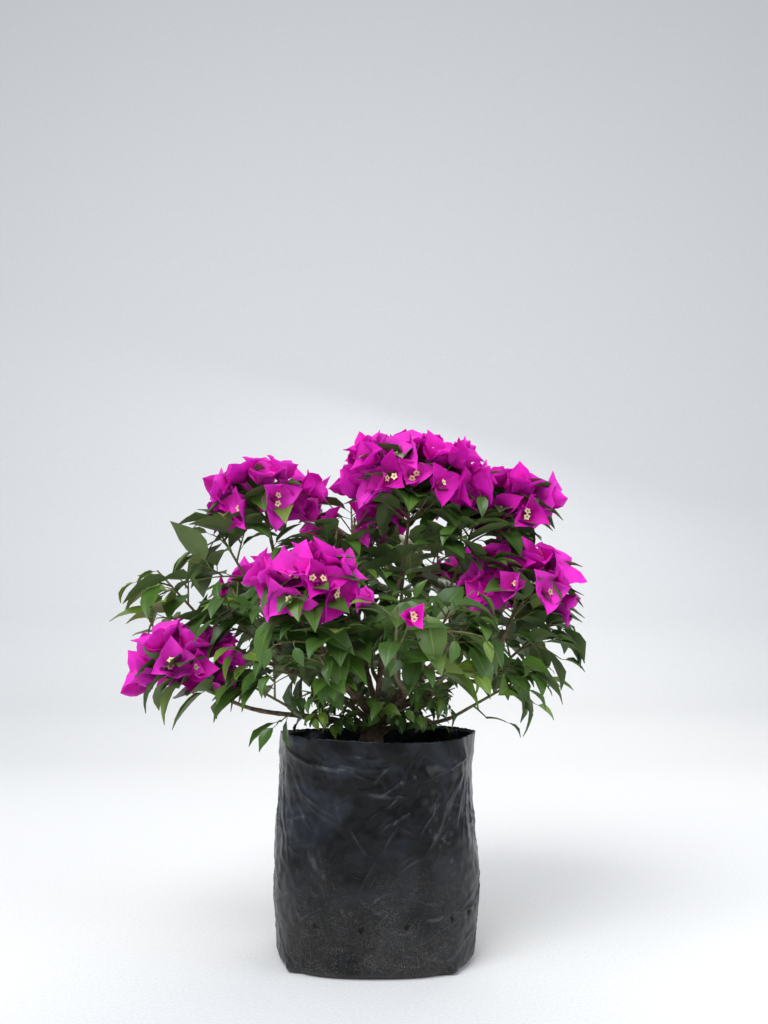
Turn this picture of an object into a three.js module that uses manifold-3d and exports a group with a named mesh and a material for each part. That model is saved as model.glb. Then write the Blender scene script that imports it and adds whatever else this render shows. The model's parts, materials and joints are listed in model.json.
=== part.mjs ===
// A bougainvillea bush in a black film nursery bag, at its real size.
// Units are millimetres and +Z is up. The origin is the middle of the bag's flat underside, and
// the side at -Y is the front.
//
// The bag is a thin wall filled with potting soil. A short trunk stands on the soil, boughs fork
// from it and from each other, and each bough ends where its mass of leaves or bracts begins.
// A mass is one fused solid: a stem, the twigs that leave it by a seeded rule, and the leaves or
// the threes of papery bracts on them. Each mass keeps to its own cell of space, and a twig, leaf
// or bract that would leave the cell, or touch a limb or the bag, is skipped.

import * as THREE from "three";
import { mergeVertices } from "three/addons/utils/BufferGeometryUtils.js";
import Module from "manifold-3d";

const wasm = await Module();
wasm.setup();

const UP = new THREE.Vector3(0, 0, 1);
const RIGHT = new THREE.Vector3(1, 0, 0);
const GOLDEN_ANGLE = Math.PI * (3 - Math.sqrt(5));
const GAP = 0.3; // between solids that touch on the real plant

// The bag is a gusseted tube of film, 350 wide when it lies flat.
const BAG = {
  wall: 1.5,
  rimHeight: 232,
  footHalf: 97, // half width of the flat underside
  footRound: 15, // height over which the foot rounds into the side
  sideHalf: 109, // half width where the round of the foot ends
  bellyHalf: 113,
  bellyHeight: 64,
  waistHalf: 107.5,
  waistHeight: 190,
  rimHalf: 109,
  footPower: 2.9, // exponent of the plan: 2 is a circle, more is squarer
  rimPower: 2.15,
  crease: 3.5, // how far the two side creases stand out at the rim
  slump: 1.5, // depth of the broad dents
  rimWave: 2.2,
  sides: 28,
};
const DRAIN = { radius: 2.4, height: 48, count: 10, sides: 4, reach: 8 };
const SOIL = { level: 212, fall: 5, flatRadius: 34, levelHalf: 0.62 };

// The trunk leans a little to the right as it rises to its fork.
const TRUNK = {
  foot: [-8, 2],
  top: [2, 0, 260],
  footRadius: 12.5,
  topRadius: 9,
  flare: 0.8, // extra radius at the foot, as a share
  flareHeight: 8,
  roots: 5,
  sides: 15,
  rows: 7,
};

const BOUGH = {
  sides: 5,
  rows: 5,
  buttRadius: 4.4,
  branchRadius: 3.2, // the butt of a bough that leaves another bough
  tipRadius: 2.3,
  collar: 0.35, // extra radius at the butt, as a share
  collarLength: 6,
  leave: 0.36,
  arrive: 0.36,
  rise: 0.75, // how steeply a bough leaves the trunk, against its way outwards
};
const STEM = { sides: 4, rows: 2, tipRadius: 2, reach: 0.6, bractReach: 0.3 };
const TWIG = { sides: 3, rows: 1, buttRadius: 1.2, tipRadius: 1.4 };
const STALK = { buttRadius: 1.2, tipRadius: 2 }; // it swells where its three bracts meet

const LEAF = {
  length: 64,
  width: 0.62, // this and the next, like the bends, are shares of the length
  belly: 0.42, // where the leaf is widest and its midrib stands highest
  arch: 0.05,
  tip: -0.1,
  thick: 1.9,
  sunk: 0.5, // how far its foot goes in past the axis of its twig
};
const BRACT = { length: 48, shoulder: 0.66, shoulderTurn: 0.62, thick: 1.9, sunk: 1 };
const SMALL = 0.62; // share of the full length of a leaf or bract in a small mass
const LEAF_SHARES = [0.34, 0.68]; // where leaves stand along a twig
const END_SHARE = 0.96; // the last leaf's foot is sunk in the end of the twig
const TRIES = 12; // a twig or leaf that doesn't fit is turned and offered again so many times
const FINE = 0.05; // detail finer than this goes where leaves are fused on
const LIMB_CLEAR = 1.2;
const FOOT_ROOM = 12; // within this of its foot a blade may be near its own twigs
const BRACT_PULL = 1.5; // how much more space the bracts take where they meet leaves
const CELL_CLEAR = 0.5;
const OVER = 1.1; // how far past its half sizes a mass may reach

// Every shoot grows away from the heart of the bush.
const HEART = new THREE.Vector3(0, 0, 262);

// Each mass: name, centre, half sizes along X, Y and Z, the limb that its bough leaves with the
// share of that limb's length, and how many twigs or threes of bracts it carries. Its lift is how
// far it turns upwards as it grows out, from 0 to 1.
const MASSES = [];
const addMass = (kind, name, centre, half, from, at, count, more = {}) =>
  MASSES.push({ kind, name: `${kind}_${name}`, centre, half, from, at, count, ...more });

addMass("bracts", "top_left", [-136, 0, 504], [84, 66, 54], "trunk", 0.93, 8);
addMass("bracts", "top_main", [40, -34, 520], [104, 82, 60], "trunk", 1, 12);
addMass("bracts", "top_right", [162, 6, 494], [70, 64, 60], "trunk", 0.9, 7);
addMass("bracts", "front_left", [-68, -128, 390], [70, 58, 52], "trunk", 0.66, 7);
addMass("bracts", "right", [168, -34, 398], [80, 66, 54], "trunk", 0.6, 8);
addMass("bracts", "left_low", [-214, -64, 304], [78, 66, 56], "trunk", 0.3, 6, { lift: 0.3 });
addMass("bracts", "back_top", [-34, 112, 500], [82, 70, 58], "trunk", 0.95, 8);
addMass("bracts", "back_left", [-156, 136, 406], [76, 68, 56], "trunk", 0.55, 6);
addMass("bracts", "back_right", [126, 152, 418], [78, 68, 56], "trunk", 0.64, 7);
addMass("bracts", "middle", [-26, -2, 470], [54, 50, 44], "bracts_back_top", 0.6, 2, { small: true });
addMass("bracts", "front", [22, -166, 354], [54, 48, 46], "leaves_front_right", 0.72, 2, { small: true });
addMass("leaves", "left_high", [-172, -8, 440], [82, 74, 68], "bracts_top_left", 0.58, 6);
addMass("leaves", "left_far", [-235, 2, 392], [74, 66, 56], "leaves_left_mid", 0.7, 6);
addMass("leaves", "left_mid", [-144, -58, 348], [78, 70, 64], "bracts_top_left", 0.3, 6);
addMass("leaves", "left_low", [-112, -68, 274], [78, 68, 58], "bracts_left_low", 0.4, 6);
addMass("leaves", "middle", [-42, -14, 418], [84, 80, 68], "bracts_top_main", 0.35, 7);
addMass("leaves", "right_high", [102, -18, 438], [88, 78, 66], "bracts_top_right", 0.5, 7);
addMass("leaves", "front_left", [-62, -106, 324], [76, 68, 62], "bracts_front_left", 0.42, 6);
addMass("leaves", "front_right", [62, -104, 334], [82, 72, 68], "trunk", 0.5, 7);
addMass("leaves", "right_mid", [174, -4, 332], [76, 70, 62], "bracts_right", 0.5, 6);
addMass("leaves", "right_low", [136, -46, 280], [76, 66, 54], "trunk", 0.3, 5);
addMass("leaves", "back_left", [-112, 116, 330], [86, 82, 72], "bracts_back_left", 0.45, 7);
addMass("leaves", "back_right", [114, 112, 336], [88, 82, 72], "bracts_back_right", 0.45, 7);
addMass("leaves", "back_high", [36, 126, 428], [84, 76, 66], "bracts_back_top", 0.5, 6);
addMass("leaves", "back_low", [2, 164, 300], [74, 70, 58], "trunk", 0.36, 6);
addMass("leaves", "heart", [-8, 24, 350], [74, 70, 58], "bracts_top_main", 0.12, 6);
addMass("leaves", "foot_left", [-46, -46, 266], [50, 46, 32], "trunk", 0.4, 4, { small: true });
addMass("leaves", "foot_right", [54, -40, 266], [52, 46, 32], "trunk", 0.1, 4, { small: true });

const COLOURS = {
  bag: [0x17181b, 0.38],
  soil: [0x2b211a, 0.95],
  bark: [0x4d3a2c, 0.85],
  leaves: [0x2c4a1c, 0.5],
  bracts: [0xc3129f, 0.6],
};

const mix = THREE.MathUtils.lerp;
const vector = (list) => new THREE.Vector3(...list);

// A small random generator, so that the same seed always grows the same mass.
function seeded(seed) {
  let state = seed >>> 0;
  return () => {
    state = (Math.imul(state, 1664525) + 1013904223) >>> 0;
    return state / 4294967296;
  };
}

function solidOf(geometry) {
  const loose = geometry.index ? geometry.toNonIndexed() : geometry;
  const bare = new THREE.BufferGeometry();
  bare.setAttribute("position", loose.getAttribute("position"));
  const merged = mergeVertices(bare, 1e-3);
  return new wasm.Manifold(
    new wasm.Mesh({
      numProp: 3,
      vertProperties: merged.attributes.position.array,
      triVerts: new Uint32Array(merged.index.array),
    }),
  );
}

function geometryOf(solid) {
  const mesh = solid.getMesh();
  const geometry = new THREE.BufferGeometry();
  geometry.setAttribute("position", new THREE.BufferAttribute(mesh.vertProperties, mesh.numProp));
  geometry.setIndex(new THREE.BufferAttribute(mesh.triVerts, 1));
  return geometry;
}

// The largest piece of a solid whose corners are rounded as its mesh holds them. Loose scrap and
// any cavity that fusing sealed are left out.
function mainPiece(solid) {
  const pieces = solidOf(geometryOf(solid)).decompose();
  return pieces.reduce((a, b) => (b.volume() > a.volume() ? b : a));
}

function moveVertices(geometry, place) {
  const position = geometry.getAttribute("position");
  const point = new THREE.Vector3();
  for (let i = 0; i < position.count; i++) {
    place(point.fromBufferAttribute(position, i));
    position.setXYZ(i, point.x, point.y, point.z);
  }
  return geometry;
}

// The bag

function bagHalf(height) {
  const { footHalf, footRound, sideHalf, bellyHalf, bellyHeight } = BAG;
  const { waistHalf, waistHeight, rimHalf, rimHeight } = BAG;
  const { smoothstep } = THREE.MathUtils;
  if (height < footRound) {
    const up = 1 - height / footRound;
    return mix(footHalf, sideHalf, Math.sqrt(1 - up * up));
  }
  if (height < bellyHeight)
    return mix(sideHalf, bellyHalf, smoothstep(height, footRound, bellyHeight));
  if (height < waistHeight)
    return mix(bellyHalf, waistHalf, smoothstep(height, bellyHeight, waistHeight));
  return mix(waistHalf, rimHalf, smoothstep(height, waistHeight, rimHeight));
}

// How much further out the plan reaches than a circle, at an angle round the bag and a height.
function bagPlan(angle, height) {
  const share = Math.max(0, height / BAG.rimHeight);
  const power = mix(BAG.footPower, BAG.rimPower, Math.sqrt(share));
  const [c, s] = [Math.abs(Math.cos(angle)), Math.abs(Math.sin(angle))];
  const square = (c ** power + s ** power) ** (-1 / power);
  const crease = (BAG.crease * share * Math.exp(-((s / 0.22) ** 2))) / BAG.rimHalf;
  const rise = Math.sin(Math.PI * Math.min(1, share * 1.1));
  const slump = (BAG.slump * rise * Math.sin(3 * angle + height / 34)) / BAG.rimHalf;
  return square + crease + slump;
}

function shapeToBag(geometry) {
  return moveVertices(geometry.rotateX(Math.PI / 2), (point) => {
    const angle = Math.atan2(point.y, point.x);
    const plan = bagPlan(angle, point.z);
    const wave = point.z > SOIL.level + 1 ? BAG.rimWave * Math.sin(2 * angle + 0.6) : 0;
    point.set(point.x * plan, point.y * plan, point.z + wave);
  });
}

const SOIL_EDGE = SOIL.level - SOIL.fall;
const ROUND_LEVELS = [0.25, 1].map((share) => share * BAG.footRound);
const SIDE_LEVELS = [BAG.bellyHeight, 125, BAG.waistHeight, SOIL_EDGE];

// A body with the bag's outline, drawn in by an inset all round, up to a top of given points.
function bagBody(inset, levels, top) {
  const points = [
    new THREE.Vector2(0, inset),
    new THREE.Vector2(BAG.footHalf - inset, inset),
    ...levels.map((z) => new THREE.Vector2(bagHalf(z) - inset, z)),
    ...top.map((point) => new THREE.Vector2(...point)),
  ];
  return solidOf(shapeToBag(new THREE.LatheGeometry(points, BAG.sides)));
}

function bagSolid() {
  const above = BAG.rimHeight + 10;
  const levels = [...ROUND_LEVELS, ...SIDE_LEVELS, BAG.rimHeight];
  const filled = bagBody(0, levels, [[0, BAG.rimHeight]]);
  const inside = bagBody(BAG.wall, levels, [[BAG.rimHalf - BAG.wall, above], [0, above]]);
  return filled.subtract(inside).subtract(drainHoles()).simplify(FINE);
}

// A ring of punched holes low in the side, so that water can leave.
function drainHoles() {
  const { radius, height, count, sides, reach } = DRAIN;
  const holes = [];
  for (let i = 0; i < count; i++) {
    const angle = ((i + 0.5) / count) * 2 * Math.PI;
    const out = bagHalf(height) * bagPlan(angle, height);
    const drill = new THREE.CylinderGeometry(radius, radius, reach, sides);
    drill.rotateZ(-Math.PI / 2).translate(out, 0, height).rotateZ(angle);
    holes.push(solidOf(drill));
  }
  return wasm.Manifold.union(holes);
}

function soilSolid() {
  const shoulder = [BAG.waistHalf * SOIL.levelHalf, SOIL.level - SOIL.fall * 0.35];
  const flat = [SOIL.flatRadius, SOIL.level];
  return bagBody(BAG.wall + GAP, [...ROUND_LEVELS, ...SIDE_LEVELS], [shoulder, flat, [0, SOIL.level]]);
}

// Limbs: the trunk, the boughs, and the stems and twigs inside the masses

function trunkSolid(swell = 0) {
  const { foot, top, footRadius, topRadius, flare, flareHeight, roots, sides, rows } = TRUNK;
  const base = SOIL.level + GAP;
  const column = new THREE.CylinderGeometry(1, 1, 1, sides, rows).rotateX(Math.PI / 2);
  return solidOf(
    moveVertices(column, (point) => {
      const share = (point.z + 0.5) ** 1.6;
      const height = mix(base, top[2], share);
      const angle = Math.atan2(point.y, point.x);
      const root = 0.65 + 0.35 * Math.cos(roots * angle);
      const spread = 1 + flare * root * Math.exp(-(height - base) / flareHeight);
      const radius = mix(footRadius, topRadius, share) * spread + swell;
      point.x = mix(foot[0], top[0], share) + point.x * radius;
      point.y = mix(foot[1], top[1], share) + point.y * radius;
      point.z = height + (share === 1 ? swell : 0);
    }),
  );
}

// Bends a straight many-sided column onto a curve. The radius is a function of the share of its
// length.
function bentColumn(curve, radiusAt, sides, rows) {
  const chord = curve.getPoint(1).sub(curve.getPoint(0)).normalize();
  const across = Math.abs(chord.z) > 0.8 ? RIGHT : UP;
  const outline = new THREE.Shape(
    [...Array(sides).keys()].map((i) => {
      const angle = (i * 2 * Math.PI) / sides;
      return new THREE.Vector2(Math.cos(angle), Math.sin(angle));
    }),
  );
  const column = new THREE.ExtrudeGeometry(outline, { depth: 1, steps: rows, bevelEnabled: false });
  return solidOf(
    moveVertices(column, (point) => {
      const share = THREE.MathUtils.clamp(point.z, 0, 1);
      const along = curve.getTangent(share);
      const side = new THREE.Vector3().crossVectors(along, across).normalize();
      const front = new THREE.Vector3().crossVectors(along, side);
      const { x, y } = point;
      point.copy(curve.getPoint(share));
      point.addScaledVector(side, x * radiusAt(share));
      point.addScaledVector(front, y * radiusAt(share));
    }),
  );
}

// How far it is from a point to the outside of a limb, which is kept as a list of points and radii.
function distanceToLimb(point, limb) {
  let nearest = Infinity;
  for (let i = 0; i + 1 < limb.points.length; i++) {
    const [a, b] = [limb.points[i], limb.points[i + 1]];
    const along = b.clone().sub(a);
    const share = THREE.MathUtils.clamp(point.clone().sub(a).dot(along) / along.lengthSq(), 0, 1);
    const reach = a.clone().addScaledVector(along, share).distanceTo(point);
    nearest = Math.min(nearest, reach - mix(limb.radii[i], limb.radii[i + 1], share));
  }
  return nearest;
}

function limbRecord(owner, curve, radiusAt, rows) {
  const shares = [...Array(rows + 1).keys()].map((i) => i / rows);
  return { owner, points: shares.map((t) => curve.getPoint(t)), radii: shares.map(radiusAt) };
}

const trunkCurve = new THREE.LineCurve3(
  new THREE.Vector3(...TRUNK.foot, SOIL.level),
  vector(TRUNK.top),
);
const curves = { trunk: trunkCurve };

// How far a mass reaches from its centre in a direction.
function reachOf(mass, direction) {
  const [x, y, z] = mass.half;
  return 1 / Math.hypot(direction.x / x, direction.y / y, direction.z / z);
}

// Sets the way a mass grows, the place where its bough ends, and the two curves that meet there.
function planShoot(mass) {
  mass.middle = vector(mass.centre);
  const size = (mass.half[0] + mass.half[1] + mass.half[2]) / 3;
  mass.pull = size ** 2 * (mass.kind === "bracts" ? BRACT_PULL : 1);
  const lift = mass.lift ?? (mass.kind === "bracts" ? 0.6 : 0.3);
  const out = mass.middle.clone().sub(HEART).normalize();
  mass.grow = out.multiplyScalar(1 - lift).addScaledVector(UP, lift).normalize();
  const onTrunk = mass.small && mass.from === "trunk";
  if (!onTrunk) {
    mass.entry = mass.middle.clone().addScaledVector(mass.grow, -0.8 * reachOf(mass, mass.grow));
    mass.bough = boughCurve(mass);
    curves[mass.name] = mass.bough;
    planStem(mass, mass.entry.clone().addScaledVector(mass.grow, GAP), mass.grow);
  } else {
    planStem(mass, curves.trunk.getPoint(mass.at), outwards(mass));
  }
}

// The way from the trunk to a mass, seen from above, rising at the angle of a bough's butt.
function outwards(mass) {
  return new THREE.Vector3(mass.middle.x, mass.middle.y, 0)
    .normalize()
    .addScaledVector(UP, BOUGH.rise)
    .normalize();
}

function boughCurve(mass) {
  const parent = curves[mass.from];
  const start = parent.getPoint(mass.at);
  const span = start.distanceTo(mass.entry);
  const chord = mass.entry.clone().sub(start).normalize();
  const leader = mass.from === "trunk" && mass.at === 1;
  const branch = parent.getTangent(mass.at).multiplyScalar(0.4).add(chord).normalize();
  const leaving = leader ? UP : mass.from === "trunk" ? outwards(mass) : branch;
  return new THREE.CubicBezierCurve3(
    start,
    start.clone().addScaledVector(leaving, span * BOUGH.leave),
    mass.entry.clone().addScaledVector(mass.grow, -span * BOUGH.arrive),
    mass.entry,
  );
}

function planStem(mass, foot, leaving) {
  const share = mass.kind === "bracts" ? STEM.bractReach : STEM.reach;
  const top = mass.middle.clone().addScaledVector(mass.grow, share * reachOf(mass, mass.grow));
  const bend = foot.clone().addScaledVector(leaving, 0.5 * foot.distanceTo(top));
  mass.stem = new THREE.QuadraticBezierCurve3(foot, bend, top);
}

function boughRadius(mass) {
  const butt = mass.from === "trunk" ? BOUGH.buttRadius : BOUGH.branchRadius;
  const length = mass.bough.getLength();
  return (share) =>
    mix(butt, BOUGH.tipRadius, share) *
    (1 + BOUGH.collar * Math.exp((-share * length) / BOUGH.collarLength));
}

const stemRadius = (share) => mix(BOUGH.tipRadius, STEM.tipRadius, share);
const twigRadius = (share) => mix(TWIG.buttRadius, TWIG.tipRadius, share);
const stalkRadius = (share) => mix(STALK.buttRadius, STALK.tipRadius, share);

function boughSolid(mass, swell = 0) {
  const radiusAt = boughRadius(mass);
  return bentColumn(mass.bough, (share) => radiusAt(share) + swell, BOUGH.sides, BOUGH.rows);
}

// A leaf is a globe of three segments and two rows pulled out: its poles are the foot and the
// tip, and its equator is the two margins and the midrib. Its corners are kept in the order of
// tip, left margin, foot, right margin and midrib.

const LEAF_CORNERS = [[0, 1, 0], [0.5, 0, -1], [0, -1, 0], [0.5, 0, 1], [-1, 0, 0]].map(vector);
const LEAF_FACES = [[0, 1, 4], [1, 2, 4], [2, 3, 4], [3, 0, 4]];

function makeLeaf(place, direction, normal, length) {
  const foot = place.clone().addScaledVector(direction, -LEAF.sunk);
  const side = new THREE.Vector3().crossVectors(direction, normal);
  const shape = ({ x, y, z }, target) => {
    const atPole = Math.abs(y) > 0.5;
    const onRib = !atPole && x < 0;
    const along = atPole ? (y + 1) / 2 : LEAF.belly;
    const bend = atPole ? (y > 0 ? LEAF.tip : 0) : LEAF.arch;
    const across = atPole || onRib ? 0 : (Math.sign(z) * LEAF.width) / 2;
    return target
      .copy(foot)
      .addScaledVector(direction, along * length)
      .addScaledVector(side, across * length)
      .addScaledVector(normal, bend * length + (onRib ? LEAF.thick : 0));
  };
  const corners = LEAF_CORNERS.map((corner) => shape(corner, new THREE.Vector3()));
  return { foot, corners, faces: LEAF_FACES, globe: [3, 2], shape };
}

// Three bracts are one cup: a globe of nine segments and two rows with its poles brought
// together. Each bract is three corners of the rim, its left shoulder, tip and right shoulder.

const RIM = 9;
const THREE_FACES = [...Array(RIM).keys()].map((k) => [k, (k + 1) % RIM, RIM]);

function makeThree(foot, axis, spin, length, leans) {
  const shape = ({ x, y, z }, target) => {
    target.copy(foot);
    if (Math.abs(y) > 0.5)
      return target.addScaledVector(axis, y > 0 ? BRACT.thick - BRACT.sunk : -BRACT.sunk);
    const k = (Math.round((Math.atan2(z, -x) * RIM) / (2 * Math.PI)) + RIM) % RIM;
    const bract = Math.floor(k / 3);
    const part = (k % 3) - 1;
    const turn = spin + (bract * 2 * Math.PI) / 3 + part * BRACT.shoulderTurn;
    const reach = length * (part ? BRACT.shoulder : 1);
    return target.addScaledVector(fanned(axis, turn, leans[bract] + (part ? 0.12 : 0)), reach);
  };
  const corners = [...Array(RIM).keys()].map((k) => {
    const phi = (k * 2 * Math.PI) / RIM;
    return shape(new THREE.Vector3(-Math.cos(phi), 0, Math.sin(phi)), new THREE.Vector3());
  });
  corners.push(foot.clone());
  return { foot, corners, faces: THREE_FACES, globe: [RIM, 2], shape };
}

function bladeSolid({ globe, shape }) {
  const whole = new THREE.SphereGeometry(1, ...globe);
  return solidOf(moveVertices(whole, (point) => shape(point.clone(), point)));
}

const SAMPLES = 6;

// Points spread over the upper surface, to test it against limbs and the bag.
function bladeSamples({ corners, faces }) {
  const found = [];
  for (const [i, j, k] of faces)
    for (let m = 0; m <= SAMPLES; m++)
      for (let n = 0; m + n <= SAMPLES; n++) {
        const [u, v] = [m / SAMPLES, n / SAMPLES];
        const point = corners[k].clone().multiplyScalar(1 - u - v);
        found.push(point.addScaledVector(corners[i], u).addScaledVector(corners[j], v));
      }
  return found;
}

// A mass keeps to the part of space that is nearer to it than to any other mass.
function inCell(mass, point) {
  const own = point.distanceToSquared(mass.middle) - mass.pull;
  return MASSES.every((other) => {
    if (other === mass) return true;
    const clear = 2 * CELL_CLEAR * other.middle.distanceTo(mass.middle);
    return own + clear < point.distanceToSquared(other.middle) - other.pull;
  });
}

function inSpace(mass, point) {
  const [x, y, z] = mass.half;
  const d = point.clone().sub(mass.middle);
  return Math.hypot(d.x / x, d.y / y, d.z / z) < OVER && inCell(mass, point);
}

function clearOfBag(point) {
  const out = Math.hypot(point.x, point.y);
  const overBag = out < BAG.bellyHalf + 8;
  return point.z > (overBag ? BAG.rimHeight + 4 : 0);
}

// A blade may come near its own mass's twigs only where its foot is.
function clearOfLimbs(mass, point, limbs, foot) {
  const atFoot = point.distanceTo(foot) < FOOT_ROOM;
  return limbs.every(
    (limb) => (atFoot && limb.owner === mass.name) || distanceToLimb(point, limb) > LIMB_CLEAR,
  );
}

function bladeFits(mass, blade, limbs, others) {
  if (!blade.corners.every((p) => inSpace(mass, p))) return false;
  if (others.some((other) => crosses(blade, other) || crosses(other, blade))) return false;
  const clear = (p) => clearOfBag(p) && clearOfLimbs(mass, p, limbs, blade.foot);
  return bladeSamples(blade).every(clear);
}

// Whether a straight line goes through the upper surface of a blade.
function goesThrough(a, b, { corners, faces }) {
  const ray = new THREE.Ray(a, b.clone().sub(a).normalize());
  const hit = new THREE.Vector3();
  return faces.some(
    (face) =>
      ray.intersectTriangle(...face.map((k) => corners[k]), false, hit) &&
      hit.distanceTo(a) < a.distanceTo(b),
  );
}

// Whether an edge of one blade goes through another.
function crosses({ corners, faces }, other) {
  return faces.some(
    ([i, j, k]) =>
      goesThrough(corners[i], corners[j], other) || goesThrough(corners[j], corners[k], other),
  );
}

function twigFits(mass, curve, limbs, blades) {
  if (blades.some((blade) => goesThrough(curve.v1, curve.v2, blade))) return false;
  for (let i = 0; i <= 8; i++) {
    const point = curve.getPoint(i / 8);
    if (!inCell(mass, point) || !clearOfBag(point)) return false;
    if (limbs.some((l) => l.owner !== mass.name && distanceToLimb(point, l) < LIMB_CLEAR + 2))
      return false;
  }
  return true;
}

// A unit vector at a turn round an axis, leaning from the axis by an angle.
function fanned(axis, turn, lean) {
  const across = Math.abs(axis.z) > 0.9 ? RIGHT : UP;
  const first = new THREE.Vector3().crossVectors(axis, across).normalize();
  const second = new THREE.Vector3().crossVectors(axis, first);
  return axis
    .clone()
    .multiplyScalar(Math.cos(lean))
    .addScaledVector(first, Math.sin(lean) * Math.cos(turn))
    .addScaledVector(second, Math.sin(lean) * Math.sin(turn))
    .normalize();
}

// The face of a leaf looks up and away from the heart of the bush, and its tip hangs.
function leafBlade(foot, heading, length, random) {
  const out = foot.clone().sub(HEART).normalize();
  const droop = 0.3 + 0.6 * random();
  const direction = heading
    .clone()
    .addScaledVector(out, 0.4)
    .addScaledVector(UP, -droop)
    .normalize();
  const sway = new THREE.Vector3(random() - 0.5, random() - 0.5, 0);
  const face = UP.clone().addScaledVector(out, 1.1).addScaledVector(sway, 0.9);
  const normal = face.addScaledVector(direction, -face.dot(direction)).normalize();
  return makeLeaf(foot, direction, normal, length);
}

// Offers a leaf at a place, smaller and turned afresh each time, until it fits.
function offerLeaf(mass, limbs, blades, random, foot, axis, turn, lean) {
  const full = LEAF.length * (mass.small ? SMALL : 1);
  for (let i = 0; i < TRIES; i++) {
    const length = full * (1.1 - 0.04 * i) * (0.92 + 0.16 * random());
    const heading = fanned(axis, turn + (i * 0.5 + 0.4) * (random() - 0.5) * 2, lean);
    const blade = leafBlade(foot, heading, length, random);
    if (bladeFits(mass, blade, limbs, blades)) {
      blades.push(blade);
      return;
    }
  }
}

// A twig of a leaf mass leaves the stem and ends well inside the space of the mass.
function offerTwig(mass, limbs, blades, random, at, turn) {
  const start = mass.stem.getPoint(at);
  for (let i = 0; i < TRIES; i++) {
    const lean = mix(1.3, 0.7, at) + 0.5 * (random() - 0.5);
    const heading = fanned(mass.stem.getTangent(at), turn + 0.35 * i * (random() - 0.5), lean);
    const reach = (0.62 - 0.03 * i) * reachOf(mass, heading);
    const twig = new THREE.LineCurve3(start, start.clone().addScaledVector(heading, reach));
    if (twigFits(mass, twig, limbs, blades)) {
      limbs.push(limbRecord(mass.name, twig, twigRadius, 1));
      return twig;
    }
  }
  return null;
}

function growLeaves(mass, limbs, random) {
  const twigs = [];
  const blades = [];
  const turned = random() * 2 * Math.PI;
  const offer = (...place) => offerLeaf(mass, limbs, blades, random, ...place);
  for (let i = 0; i < 2 * mass.count && twigs.length < mass.count; i++) {
    const at = 0.16 + 0.8 * ((i / mass.count) % 1);
    const turn = turned + i * GOLDEN_ANGLE;
    const twig = offerTwig(mass, limbs, blades, random, at, turn);
    if (twig) {
      twigs.push(twig);
      const heading = twig.getTangent(0);
      offer(twig.getPoint(END_SHARE), heading, turn, 0.25);
      LEAF_SHARES.forEach((share, j) =>
        offer(twig.getPoint(share), heading, turn + j * Math.PI, 1),
      );
    }
    const beside = Math.min(1, at + 0.06);
    offer(mass.stem.getPoint(beside), mass.stem.getTangent(beside), turn + 2.4, 1.1);
  }
  return { twigs, blades };
}

// A three of bracts opens round the end of its stalk.
function offerThree(mass, limbs, blades, random, start, rise, turn) {
  const full = BRACT.length * (mass.small ? SMALL : 1);
  for (let i = 0; i < TRIES; i++) {
    const aim = fanned(UP, turn + 0.3 * i * (random() - 0.5), Math.acos(rise));
    const length = full * (1.08 - 0.03 * i) * (0.92 + 0.16 * random());
    const reach = reachOf(mass, aim);
    const out = Math.max(0.2 * reach, reach - (0.62 + 0.04 * i) * length);
    const end = mass.middle.clone().addScaledVector(aim, out);
    const axis = end.clone().sub(start).normalize().addScaledVector(UP, 0.2).normalize();
    const leans = [0, 1, 2].map(() => 0.8 + 0.35 * random());
    const three = makeThree(end, axis, random() * 2 * Math.PI, length, leans);
    const twig = new THREE.LineCurve3(start, end);
    if (bladeFits(mass, three, limbs, blades) && twigFits(mass, twig, limbs, blades)) {
      blades.push(three);
      limbs.push(limbRecord(mass.name, twig, stalkRadius, 1));
      return twig;
    }
  }
  return null;
}

function growBracts(mass, limbs, random) {
  const twigs = [];
  const blades = [];
  const turned = random() * 2 * Math.PI;
  for (let i = 0; i < 3 * mass.count && twigs.length < mass.count; i++) {
    const share = (i / mass.count) % 1;
    const rise = 1 - 1.45 * (share + 0.5 / mass.count);
    const start = mass.stem.getPoint(1 - 0.65 * share);
    const twig = offerThree(mass, limbs, blades, random, start, rise, turned + i * GOLDEN_ANGLE);
    if (twig) twigs.push(twig);
  }
  return { twigs, blades };
}

function massSolid(mass, limbs, seed) {
  const random = seeded(seed);
  const grown = (mass.kind === "bracts" ? growBracts : growLeaves)(mass, limbs, random);
  const radiusAt = mass.kind === "bracts" ? stalkRadius : twigRadius;
  const whole = wasm.Manifold.union([
    bentColumn(mass.stem, stemRadius, STEM.sides, STEM.rows),
    ...grown.twigs.map((twig) => bentColumn(twig, radiusAt, TWIG.sides, TWIG.rows)),
    ...grown.blades.map(bladeSolid),
  ]);
  const free = mass.bough ? whole : whole.subtract(trunkSolid(GAP));
  return mainPiece(free.simplify(FINE));
}

// The whole plant

const plant = new THREE.Group();
plant.name = "bougainvillea_bush";

function addNode(name, solid, finish) {
  const [color, roughness] = COLOURS[finish];
  const material = new THREE.MeshStandardMaterial({ color, roughness, metalness: 0 });
  const mesh = new THREE.Mesh(geometryOf(solid), material);
  mesh.name = name;
  plant.add(mesh);
}

addNode("bag", bagSolid(), "bag");
addNode("soil", soilSolid(), "soil");
addNode("trunk", trunkSolid(), "bark");

// A mass whose bough leaves another bough is planned after that one.
const byName = Object.fromEntries(MASSES.map((mass) => [mass.name, mass]));
const planned = new Set(["trunk"]);
while (planned.size <= MASSES.length)
  for (const mass of MASSES)
    if (!planned.has(mass.name) && planned.has(mass.from)) {
      planShoot(mass);
      planned.add(mass.name);
    }

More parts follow.
